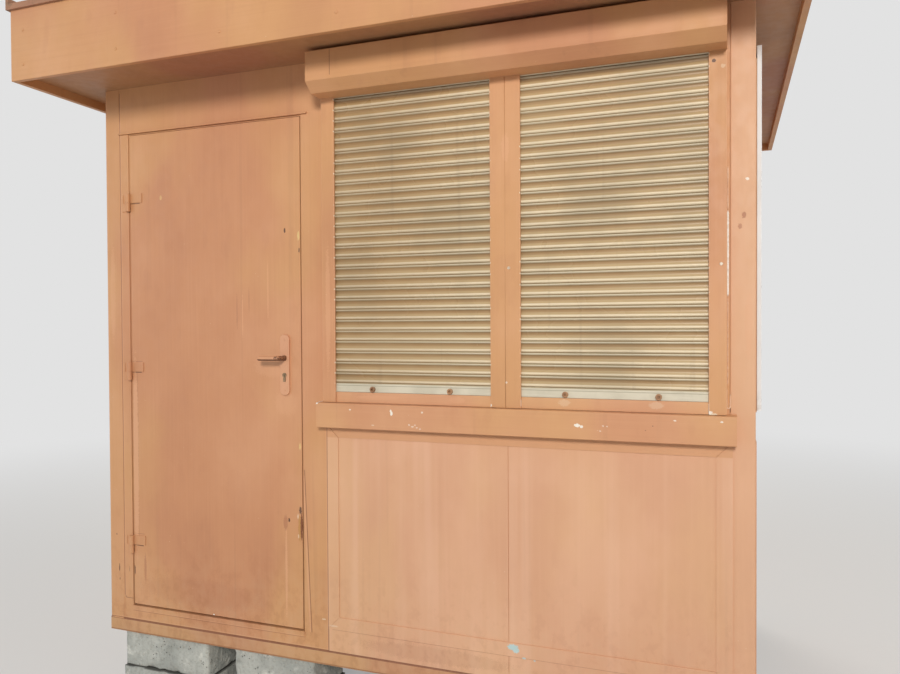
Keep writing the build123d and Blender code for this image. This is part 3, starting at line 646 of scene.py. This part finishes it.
def concrete(name):
    # Grey cast concrete with lime bloom, pits, a dark joint between the courses and a damp foot
    paint = Paint(name)
    clouds = paint.noise(4.5, detail=5.0, rough=0.62)
    bloom = paint.noise(11.0, detail=5.0, rough=0.62, shift=(4.0, 1.0, 7.0))
    grains = paint.noise(95.0, detail=4.0, rough=0.68)
    stones = paint.rise(paint.cells(42.0, shift=(0.3, 0.7, 0.1)), 0.3, 0.12)
    pits = paint.rise(paint.cells(75.0), 0.24, 0.08) * paint.rise(paint.noise(14.0), 0.46, 0.6)
    joint = abs(paint.z - blockTints["jointHeight"])
    colour = paint.over(*blockTints["grey"], clouds, 0.3, 0.7)
    colour = paint.over(colour, blockTints["bloom"], bloom, 0.54, 0.7, 0.75)
    colour = paint.over(colour, blockTints["dull"], bloom, 0.44, 0.3, 0.4)
    colour = paint.mix(stones * 0.25, colour, blockTints["stone"])
    colour = paint.over(colour, blockTints["grain"], grains, 0.45, 0.7, 0.3)
    colour = paint.mix(pits * 0.75, colour, blockTints["pit"])
    colour = paint.over(colour, blockTints["joint"], joint, 0.007, 0.0015, 0.85)
    colour = paint.over(colour, blockTints["damp"], paint.z + 0.05 * bloom, 0.13, 0.01, 0.45)
    return paint.finish(colour, 0.9 + 0.07 * clouds, grains + 0.5 * stones - 1.5 * pits, 0.0028)


boardTints = {
    "pale": shade(222, 226, 230),
    "grey": shade(204, 208, 212),
    "runs": shade(164, 160, 152),
    "foot": shade(150, 132, 112),
    "footHeights": (1.36, 1.29),
}


def whiteBoard(name):
    # A painted board on the right wall, streaked by rain and darker along its foot
    paint = Paint(name)
    clouds = paint.noise(2.6, detail=4.0, rough=0.6)
    runs = paint.noise(22.0, (1.0, 1.0, 0.04), 3.0, 0.55)
    foot = paint.rise(paint.z, *boardTints["footHeights"])
    colour = paint.over(boardTints["pale"], boardTints["grey"], clouds, 0.4, 0.7, 0.5)
    colour = paint.over(colour, boardTints["runs"], runs, 0.56, 0.74, 0.25)
    colour = paint.over(colour, boardTints["foot"], paint.noise(28.0, detail=3.0), 0.45, 0.6, foot * 0.4)
    return paint.finish(colour, 0.6 + 0.1 * clouds, paint.noise(160.0), 0.0003)


paneTints = {"clear": shade(150, 164, 160), "dusty": shade(190, 196, 190), "alpha": 0.35, "ior": 1.45}


def glassPane(name):
    paint = Paint(name)
    dusty = paint.noise(3.0, detail=5.0, rough=0.65)
    colour = paint.mix(dusty, paneTints["clear"], paneTints["dusty"])
    roughness = 0.08 + 0.25 * paint.rise(dusty, 0.45, 0.7)
    return paint.finish(colour, roughness, Alpha=paneTints["alpha"], IOR=paneTints["ior"])


boards = {
    "floorBoard": {"light": shade(140, 116, 90), "dark": shade(104, 84, 64), "width": 0.145},
    "joistWood": {"light": shade(150, 122, 88), "dark": shade(108, 84, 60), "width": 4.0},
    "joint": shade(44, 34, 26),
}


def sawnBoard(name):
    # Boards run front to back: grain along y and a dark joint every width across x
    paint = Paint(name)
    spec = boards[name]
    grain = paint.noise(30.0, (1.0, 0.06, 1.0), 4.0, 0.6)
    clouds = paint.noise(3.0, detail=3.0)
    place = paint.x / spec["width"] + 50.0
    away = abs(paint.part("FRACT", place) - 0.5)
    tint = paint.node("TexWhiteNoise", {"noise_dimensions": "1D"}, {"W": paint.part("FLOOR", place)}, "Value")
    colour = paint.over(spec["light"], spec["dark"], grain + 0.12 * tint, 0.44, 0.72)
    colour = paint.over(colour, steelPaint["dust"], clouds, 0.45, 0.7, 0.35)
    colour = paint.over(colour, boards["joint"], away, 0.486, 0.496, 0.8)
    return paint.finish(colour, 0.75 + 0.1 * grain, grain)


roofTints = {
    "sheet": (shade(136, 92, 72), shade(166, 122, 96)),
    "grime": shade(104, 92, 68),
    "runs": shade(84, 60, 46),
}


def roofSheet(name):
    # Painted sheet, faded in clouds, with grime and runs along its fall
    paint = Paint(name)
    clouds = paint.noise(1.3, detail=4.0, rough=0.6)
    grime = paint.noise(26.0, detail=5.0, rough=0.7)
    runs = paint.noise(18.0, (1.0, 0.05, 1.0), 3.0, 0.55)
    colour = paint.over(*roofTints["sheet"], clouds, 0.36, 0.66)
    colour = paint.over(colour, roofTints["grime"], grime, 0.52, 0.7, 0.55)
    colour = paint.over(colour, roofTints["runs"], runs, 0.55, 0.72, 0.4)
    return paint.finish(colour, 0.6 + 0.2 * clouds, 0.6 * grime + 0.4 * clouds, 0.0012)


lever = {
    "under": (1.4405, 1.4365),      # z between which the underside's painted shade begins
    "neck": (-0.407, -0.403),       # x between which the bare neck begins
    # dark colour of the bare neck and of the underside's painted shade
    "bareAndShaded": shade(92, 54, 32),
}


def leverPaint(name):
    # Painted over with the door; the neck is bare and dark, and the underside is darkened as painted shade
    paint, colour, roughness, height = brushedOn(name)
    rubbed = paint.noise(140.0, detail=3.0, rough=0.6)
    # the underside gets painted shade; the neck shows bare metal
    under = paint.rise(paint.z + 0.004 * (rubbed - 0.5), *lever["under"])
    neck = paint.rise(paint.x + 0.01 * (rubbed - 0.5), *lever["neck"])
    colour = paint.mix(0.35, colour, steelPaint["faded"])
    colour = paint.mix(under.most(neck * paint.rise(rubbed, 0.36, 0.52)) * 0.88, colour, lever["bareAndShaded"])
    return paint.finish(colour, roughness, height, 0.0004)


# Small parts in two tints: the clouds' scale and detail, where and how strongly the second tint shows,
# the least roughness and what the clouds add to it, the bumps' height, and how metallic they are
cylinder = (190.0, 4.0, (0.4, 0.62, 1.0), (0.4, 0.25), 0.0002, 0.35)
filler = (70.0, 4.0, (0.4, 0.62, 0.7), (0.55, 0.2), 0.0004, 0.0)
screwHead = (220.0, 3.0, (0.42, 0.6, 1.0), (0.45, 0.2), 0.0002, 0.3)
partTints = {
    "cylinderPaint": (shade(154, 130, 100), shade(112, 92, 70)),
    "whiteFiller": (shade(234, 232, 226), shade(214, 202, 186)),
    "paleFiller": (shade(226, 196, 168), shade(214, 168, 134)),
    "paleScrew": (shade(216, 206, 190), shade(176, 150, 124)),
    "rustScrew": (shade(150, 116, 92), shade(104, 66, 44)),
}


def smallPart(name, looks):
    paint = Paint(name)
    scale, detail, edges, (least, more), depth, metallic = looks
    clouds = paint.noise(scale, detail=detail, rough=0.6)
    colour = paint.over(*partTints[name], clouds, *edges)
    return paint.finish(colour, least + more * clouds, clouds, depth, Metallic=metallic)


courses = ("front_lower_blocks", "front_upper_blocks", "back_lower_blocks", "back_upper_blocks")
steels = {
    # body, faded and deep tint, the strokes' way, how strongly they show, and the nodes
    "brownSteel": (painted, "z", 0.075, ("left_window_frame", "right_window_frame", "door_hinge_flaps",
                                         "stile_hinge_flaps")),
    "boxSteel": (painted, "x", 0.08, ("left_shutter_box", "right_shutter_box")),
    "fasciaSteel": (painted, "x", 0.08, ("front_fascia", "back_fascia", "side_fascias")),
    "thresholdSteel": (painted, "z", 0.075, ("door_threshold",)),
    "leafSteel": (painted, "z", 0.075, ("door_leaf",)),
    "stripSteel": ((shade(212, 166, 126), *painted[1:]), "x", 0.06, ("sill_strips",)),
    "ledgeSteel": ((shade(202, 152, 112), shade(216, 170, 132), painted[2]), "x", 0.07, ("sill_ledge",)),
    "baseSteel": ((shade(182, 142, 106), shade(202, 156, 118), shade(150, 104, 74)), "x", 0.1,
                  ("base_front_channel", "base_back_channel", "base_left_channel", "base_right_channel")),
    "plateSteel": ((shade(206, 154, 122), shade(220, 172, 138), painted[0]), "z", 0.04, ("handle_plates",)),
    # the ceiling board under the overhang is painted darker, as painted shade
    "soffitShadedPaint": ((shade(140, 96, 74), shade(158, 112, 86), shade(112, 76, 58)), "x", 0.075, ("ceiling_board",)),
}
plain = {}
for name, (*look, wearers) in steels.items():
    plain[name] = plainSteel(name, *look)
    dress(plain[name], *wearers)

wallPaint = wallSteel("wallSteel")
railPaint = railSteel("railSteel")
castConcrete = concrete("castConcrete")
dress(wallPaint, "left_wall", "right_wall", "back_wall", "front_lower_wall", "window_header", "mullion_post",
      "front_left_post", "front_right_post", "back_posts", "door_post", "door_header", "hinge_stile")
dress(railPaint, "left_guide_rails", "right_guide_rails")
dress(panelSteel("panelSteel"), "front_lower_panel")
dress(slatPaint("slatPaint"), "left_shutter_curtain", "right_shutter_curtain", "shutter_rolls")
dress(barPaint("barPaint"), "left_bottom_bar", "right_bottom_bar")
dress(castConcrete, *courses)
dress(whiteBoard("whiteBoard"), "side_board")
dress(glassPane("windowGlass"), "window_panes")
dress(sawnBoard("floorBoard"), "floor_deck")
dress(sawnBoard("joistWood"), "floor_joists")
dress(roofSheet("roofSheet"), "roof_deck")
dress(leverPaint("leverPaint"), "door_lever")
dress(smallPart("cylinderPaint", cylinder), "lock_cylinder")
print("finishes on all nodes")


def surfaceMesh(name, grids, material, body, replaced=(), merge=1e-6):
    # grids is a list of arrays (rows, columns, 3): columns close on themselves, first and last rows are poles
    points, quads, before = [], [], 0
    for grid in grids:
        rows, columns, _ = grid.shape
        one = np.arange(rows * columns).reshape(rows, columns) + before
        right = np.roll(one, -1, axis=1)
        quads.append(np.stack((one[:-1], right[:-1], right[1:], one[1:]), axis=-1).reshape(-1, 4))
        points.append(grid.reshape(-1, 3))
        before += rows * columns
    mesh = bpy.data.meshes.new(name)
    mesh.from_pydata(np.concatenate(points).tolist(), [], np.concatenate(quads).tolist(), shade_flat=False)
    built = bmesh.new()
    built.from_mesh(mesh)
    bmesh.ops.remove_doubles(built, verts=built.verts, dist=merge)
    bmesh.ops.dissolve_degenerate(built, dist=merge, edges=built.edges)
    bmesh.ops.recalc_face_normals(built, faces=built.faces)
    built.to_mesh(mesh)
    built.free()
    mesh.materials.append(material)
    piece = added(name, mesh)
    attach(piece, body)
    if replaced:
        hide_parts(*replaced)
    print("piece", name, len(mesh.polygons), "faces")


def lumps(points, scale, seed, size=24):
    # Smooth random values from -1 to 1: a table of random numbers read between its eight nearest entries
    table = np.random.default_rng(seed).uniform(-1.0, 1.0, (size, size, size))
    spot = points * scale + 1000.0
    low = np.floor(spot).astype(int)
    part = spot - low
    part = part * part * (3.0 - 2.0 * part)
    total = np.zeros(points.shape[:-1])
    for corner in range(8):
        step = np.array((corner & 1, corner >> 1 & 1, corner >> 2 & 1))
        index = (low + step) % size
        weight = np.where(step == 1, part, 1.0 - part).prod(axis=-1)
        total = total + weight * table[index[..., 0], index[..., 1], index[..., 2]]
    return total


roughBlocks = {
    "gap": 0.01,                # two blocks of a course are further apart than this
    "perimeter": 144,           # points round a block
    "sides": 26,                # rings up its sides
    "caps": (0.0, 0.25, 0.5, 0.75, 0.9),    # rings over its top and bottom, as shares of its outline
    "round": 0.975,             # the ring between a cap and the sides
    "rim": 0.004,               # where the sides' rings start, as a share of the height
    "corner": 0.01,             # radius of its upright corners
    "skin": 0.004,              # deepest hollow of the cast face
    "skinScales": (24.0, 90.0),
    "chip": 0.026,              # deepest chip off an edge
    "chipScales": (16.0, 55.0),
    "edge": 0.03,               # how far from an edge the chips reach
    "wear": 0.003,              # what every edge has lost
    "pull": 0.012,              # how soon the nearest face sets the way inwards
}


def blockGrid(low, high, seed, spec):
    # A rounded rectangle carried up a block: rings grow from a pole over the bottom, rise, and close over the top.
    # Every point then moves inwards by smooth noise, and further where noise passes a threshold near an edge.
    half = (high - low) / 2
    centre = (high + low) / 2
    side = np.linspace(-1.0, 1.0, spec["perimeter"] // 4, endpoint=False)
    still = np.ones_like(side)
    ring = np.concatenate((np.stack((side, -still), -1), np.stack((still, side), -1),
                           np.stack((-side, still), -1), np.stack((-still, -side), -1)))
    core = half[:2] - spec["corner"]
    flat = ring * half[:2]
    beyond = np.maximum(np.abs(flat) - core, 0.0)
    length = np.linalg.norm(beyond, axis=-1, keepdims=True)
    over = np.where(length > spec["corner"], spec["corner"] / np.maximum(length, 1e-9), 1.0)
    flat = np.sign(flat) * (np.minimum(np.abs(flat), core) + beyond * over)
    caps, between = np.array(spec["caps"]), (spec["round"],)
    levels = np.linspace(0.0, 1.0, spec["sides"])
    shrink = np.concatenate((caps, between, np.ones(spec["sides"]), between, caps[::-1]))
    height = np.concatenate((np.zeros(len(caps) + 1), spec["rim"] + levels * (1.0 - 2 * spec["rim"]),
                             np.ones(len(caps) + 1)))
    grid = np.empty((len(shrink), spec["perimeter"], 3))
    grid[..., :2] = centre[:2] + flat[None] * shrink[:, None, None]
    grid[..., 2] = (low[2] + height * (high[2] - low[2]))[:, None]
    room = half - np.abs(grid - centre)
    edge = np.clip(1.0 - np.sort(room, axis=-1)[..., 1] / spec["edge"], 0.0, 1.0)
    coarse, fine = spec["skinScales"]
    skin = (0.5 + 0.5 * lumps(grid, coarse, seed)) * (0.6 + 0.4 * lumps(grid, fine, seed + 1))
    coarse, fine = spec["chipScales"]
    chips = np.clip(lumps(grid, coarse, seed + 2) * 0.8 + lumps(grid, fine, seed + 3) * 0.35 - 0.1, 0.0, 1.0)
    depth = spec["skin"] * skin + spec["chip"] * edge * chips + spec["wear"] * edge ** 3
    inward = np.exp(-room / spec["pull"]) * -np.sign(grid - centre)
    inward = inward / np.maximum(np.linalg.norm(inward, axis=-1, keepdims=True), 1e-9)
    moved = grid + inward * depth[..., None]
    cap = shrink < spec["round"]
    moved[cap] = grid[cap]
    moved[0], moved[-1] = moved[0].mean(axis=0), moved[-1].mean(axis=0)
    return moved


def blockStacks(name, seed, spec):
    # One grid for each block of a CAD node: a block is where the spans of the edges along x overlap
    low, high = (np.array(c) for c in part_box(name))
    mesh = nodes[name].data
    points = np.empty(len(mesh.vertices) * 3)
    mesh.vertices.foreach_get("co", points)
    ends = np.empty(len(mesh.edges) * 2, int)
    mesh.edges.foreach_get("vertices", ends)
    across = np.sort(points.reshape(-1, 3)[:, 0][ends.reshape(-1, 2)], axis=1)
    across = across[np.argsort(across[:, 0])]
    reached = np.maximum.accumulate(across[:, 1])
    cuts = np.flatnonzero(across[1:, 0] > reached[:-1] + spec["gap"])
    lefts = across[np.concatenate(((0,), cuts + 1)), 0]
    rights = reached[np.concatenate((cuts, (len(across) - 1,)))]
    return [blockGrid(np.array((a, low[1], low[2])), np.array((b, high[1], high[2])), seed + 10 * i, spec)
            for i, (a, b) in enumerate(zip(lefts, rights))]


for order, name in enumerate(courses):
    stacks = blockStacks(name, 100 * order + 7, roughBlocks)
    surfaceMesh("rough_" + name, stacks, castConcrete, "cabin", (name,))


def capped(rows, first, last):
    # A grid's rows with a pole before and after them
    count = rows.shape[1]
    return np.concatenate((np.tile(first, (1, count, 1)), rows, np.tile(last, (1, count, 1))))


def swept(path, across, out, profile):
    # A closed profile (a, b) carried along a path: point = path + across * a + out * b, with an end cap at each end
    rows = path[:, None, :] + across[:, None, :] * profile[None, :, :1] + out[:, None, :] * profile[None, :, 1:]
    return capped(rows, rows[0].mean(axis=0), rows[-1].mean(axis=0))


def straightBar(start, end, across, out, profile):
    # The same from one place straight to another
    return swept(np.array((start, end)), np.tile(across, (2, 1)), np.tile(out, (2, 1)), np.array(profile))


frameLip = {
    # the door frame's edge, and how far the strip reaches from it towards the door
    "left": (-1.132, 5.2e-3),
    "right": (-0.32, 4.4e-3),
    "top": (2.349, 5.2e-3),
    "foot": 0.4135,
    "front": -0.8425,           # 2.5 mm behind the face of the frame
    "thickness": 0.003,
    "sunk": 0.05,               # share of its reach that is let into the frame
}


def addFrameLip(spec):
    # A thin strip of steel on the reveal closes the gap round the door to a slit; its free edge is bevelled
    (left, a), (right, b), (top, c) = spec["left"], spec["right"], spec["top"]
    y, t, sunk, foot = spec["front"], spec["thickness"], spec["sunk"], spec["foot"]
    path = np.array(((left, y, foot), (left, y, top), (right, y, top), (right, y, foot)))
    across = np.array(((a, 0, 0), (a, 0, -c), (-b, 0, -c), (-b, 0, 0)))
    out = np.tile((0.0, 1.0, 0.0), (4, 1))
    profile = np.array(((-sunk, 0.0), (0.9, 0.0), (1.0, 0.15 * t), (1.0, t), (-sunk, t)))
    strip = swept(path, across, out, profile)
    surfaceMesh("door_frame_lip", [strip], wallPaint, "cabin")


addFrameLip(frameLip)


def line(start, end, step):
    count = max(3, int(np.linalg.norm(np.array(end) - np.array(start)) / step))
    return np.linspace(start, end, count)


def bead(path, radius, ripple, wander, seed, columns=8, flat=0.75):
    # A laid bead: its radius swells by ripple at every step and wanders with smooth noise; its ends taper.
    # point = path + radius * (side * cos(turn) + out * flat * sin(turn))
    along = np.gradient(path, axis=0)
    along = along / np.linalg.norm(along, axis=1, keepdims=True)
    hint = np.array((0.0, -1.0, 0.0)) if abs(along[0][1]) < 0.8 else np.array((1.0, 0.0, 0.0))
    side = np.cross(along, hint)
    side = side / np.linalg.norm(side, axis=1, keepdims=True)
    out = np.cross(side, along)
    steps = np.arange(len(path))
    taper = np.clip(np.minimum(steps, steps[::-1]) / 2.0, 0.35, 1.0)
    size = radius * taper * (1.0 + ripple * (steps % 2) + wander * lumps(path, 160.0, seed))
    turn = np.linspace(0.0, 2 * np.pi, columns, endpoint=False)
    circle = side[:, None] * np.cos(turn)[None, :, None] + flat * out[:, None] * np.sin(turn)[None, :, None]
    return capped(path[:, None] + circle * size[:, None, None], path[0], path[-1])


seamFilling = {"x": 0.4745, "face": -0.87498, "low": 1.2845, "high": 2.3848, "half": 0.0021, "depth": 0.003}


def addSeamFilling(spec):
    # The groove where the two middle rails meet is filled flush and painted over
    x, y, half, depth = spec["x"], spec["face"], spec["half"], spec["depth"]
    profile = ((-half, -depth), (half, -depth), (half, 0.0), (-half, 0.0))
    filling = straightBar((x, y, spec["low"]), (x, y, spec["high"]), (1.0, 0.0, 0.0), (0.0, -1.0, 0.0), profile)
    surfaceMesh("rail_seam_filling", [filling], railPaint, "cabin")


addSeamFilling(seamFilling)


channelPlates = {
    "x": (1.246, 1.249),
    "y": ((-0.842, -0.769), (0.978, 1.052)),    # the front and the back channel
    "z": (0.303, 0.349),
}


def addChannelPlates(spec):
    # The open ends of the front and back base channels are closed by small plates
    (inner, outer), (bottom, top) = spec["x"], spec["z"]
    plates = [straightBar((side * inner, 0.0, 0.0), (side * outer, 0.0, 0.0), (0.0, 1.0, 0.0), (0.0, 0.0, 1.0),
                          ((front, bottom), (back, bottom), (back, top), (front, top)))
              for side in (-1.0, 1.0) for front, back in spec["y"]]
    surfaceMesh("channel_end_plates", plates, plain["baseSteel"], "cabin")


addChannelPlates(channelPlates)


welds = {
    # start and end of each bead: beside the three hinge plates, then at the front's lower corners
    "beads": (
        ((-1.161, -0.8455, 2.03), (-1.161, -0.8455, 2.104)),
        ((-1.161, -0.8455, 1.341), (-1.161, -0.8455, 1.415)),
        ((-1.161, -0.8455, 0.633), (-1.161, -0.8455, 0.7)),
        ((-1.249, -0.844, 0.3525), (-1.18, -0.8452, 0.3525)),
        ((1.18, -0.8452, 0.3525), (1.249, -0.844, 0.3525)),
        ((1.178, -0.8452, 0.354), (1.178, -0.8452, 0.43)),
    ),
    "radius": 0.0024,
    "step": 0.0024,
    "ripple": 0.22,
    "wander": 0.2,
    "seed": 31,
}


def addWelds(spec):
    beads = [bead(line(start, end, spec["step"]), spec["radius"], spec["ripple"], spec["wander"], spec["seed"] + i)
             for i, (start, end) in enumerate(spec["beads"])]
    surfaceMesh("cabin_weld_beads", beads, plain["brownSteel"], "cabin")


addWelds(welds)


caulk = {
    "x": 1.1705,
    "y": -0.8462,
    # low, high, radius, wander and seed of each length
    "white": ((1.645, 1.906, 0.0034, 0.3, 60),),
    "pale": ((1.906, 2.04, 0.0018, 0.35, 62), (1.372, 1.645, 0.0013, 0.35, 62)),
    "drip": (1.302, 1.366, 0.002, 0.3, 71),
    "dripSides": (-0.003, 0.007),
    "step": 0.004,
}


def addCaulk(spec):
    # Filler squeezed along the outer edge of the right rail, white where it is thick, with a drip lower down.
    # The drip runs down, round half a circle and a little way up again.
    x, y, step = spec["x"], spec["y"], spec["step"]
    thick, thin = ([bead(line((x, y, low), (x, y, high), step), size, 0.0, wander, seed)
                    for low, high, size, wander, seed in spec[kind]] for kind in ("white", "pale"))
    low, high, size, wander, seed = spec["drip"]
    left, right = (x + side for side in spec["dripSides"])
    radius = (right - left) / 2
    turn = np.linspace(-np.pi / 2, np.pi / 2, 9)
    bend = np.stack((left + radius * (1.0 + np.sin(turn)), np.full(9, y), low + radius * (1.0 - np.cos(turn))), -1)
    down = line((left, y, high), (left, y, low + 0.008), step)
    up = line((right, y, low + 0.008), (right, y, high - 0.02), step)
    thin.append(bead(np.concatenate((down, bend, up)), size, 0.0, wander, seed))
    surfaceMesh("rail_filler_white", thick, smallPart("whiteFiller", filler), "cabin")
    surfaceMesh("rail_filler_pale", thin, smallPart("paleFiller", filler), "cabin")


addCaulk(caulk)


def screwGrid(place, out, radius, height, slot=0.35, columns=12):
    # A domed head with a sunk cross: height = dome(share of radius) less slot where a spoke of the cross runs
    out = np.array(out, float)
    first = np.cross(out, (0.0, 0.0, 1.0))
    first = first / np.linalg.norm(first)
    second = np.cross(out, first)
    turn = np.linspace(0.0, 2 * np.pi, columns, endpoint=False)
    shares = np.array((0.0, 0.45, 0.55, 0.85, 1.0, 1.0))
    dome = np.array((1.0 - slot, 1.0, 0.95, 0.75, 0.35, -0.4))
    rise = np.tile(dome[:, None], (1, columns))
    rise[1, ::3] = rise[1, ::3] - slot
    circle = first[None] * np.cos(turn)[:, None] + second[None] * np.sin(turn)[:, None]
    rows = np.array(place) + circle[None] * (radius * shares)[:, None, None] + out * (height * rise)[..., None]
    return capped(rows[1:], rows[0, 0], rows[-1].mean(axis=0))


def rowOf(low, high, count):
    return [low + (high - low) * i / (count - 1) for i in range(count)]


fasciaRows = (2.56, 2.69)
fasciaHead = (0.006, 0.0024)
screws = {
    # places, the way the heads face, then their radius and height
    "rail": ([(1.1518, -0.8748, 1.7424), (0.4871, -0.8748, 1.7506)], (0, -1, 0), 0.0054, 0.0022),
    "plate": ([(-0.3945, -0.8528, 1.51), (-0.3945, -0.8528, 1.318)], (0, -1, 0), 0.004, 0.0012),
    "board": ([(1.2688, y, z) for y in (-0.745, -0.17, 0.405) for z in rowOf(1.32, 2.39, 4)],
              (1, 0, 0), 0.005, 0.0016),
    "front": ([(x, -1.1548, z) for x in rowOf(-1.34, 1.34, 7) for z in fasciaRows], (0, -1, 0), *fasciaHead),
    "left": ([(-1.3998, y, z) for y in rowOf(-1.05, 1.05, 5) for z in fasciaRows], (-1, 0, 0), *fasciaHead),
    "right": ([(1.3998, y, z) for y in rowOf(-1.05, 1.05, 5) for z in fasciaRows], (1, 0, 0), *fasciaHead),
    "back": ([(x, 1.1548, z) for x in rowOf(-1.34, 1.34, 7) for z in fasciaRows], (0, 1, 0), *fasciaHead),
}


def screwRow(*sides):
    grids = []
    for side in sides:
        places, *head = screws[side]
        grids += [screwGrid(place, *head) for place in places]
    return grids


fasciaScrews = screwRow("front", "left", "right", "back")
surfaceMesh("rail_screws", screwRow("rail"), smallPart("paleScrew", screwHead), "cabin")
surfaceMesh("plate_screws", screwRow("plate"), plain["plateSteel"], "door")
surfaceMesh("board_screws", screwRow("board"), smallPart("rustScrew", screwHead), "cabin")
surfaceMesh("fascia_screws", fasciaScrews, plain["brownSteel"], "cabin")
print("new pieces ready")
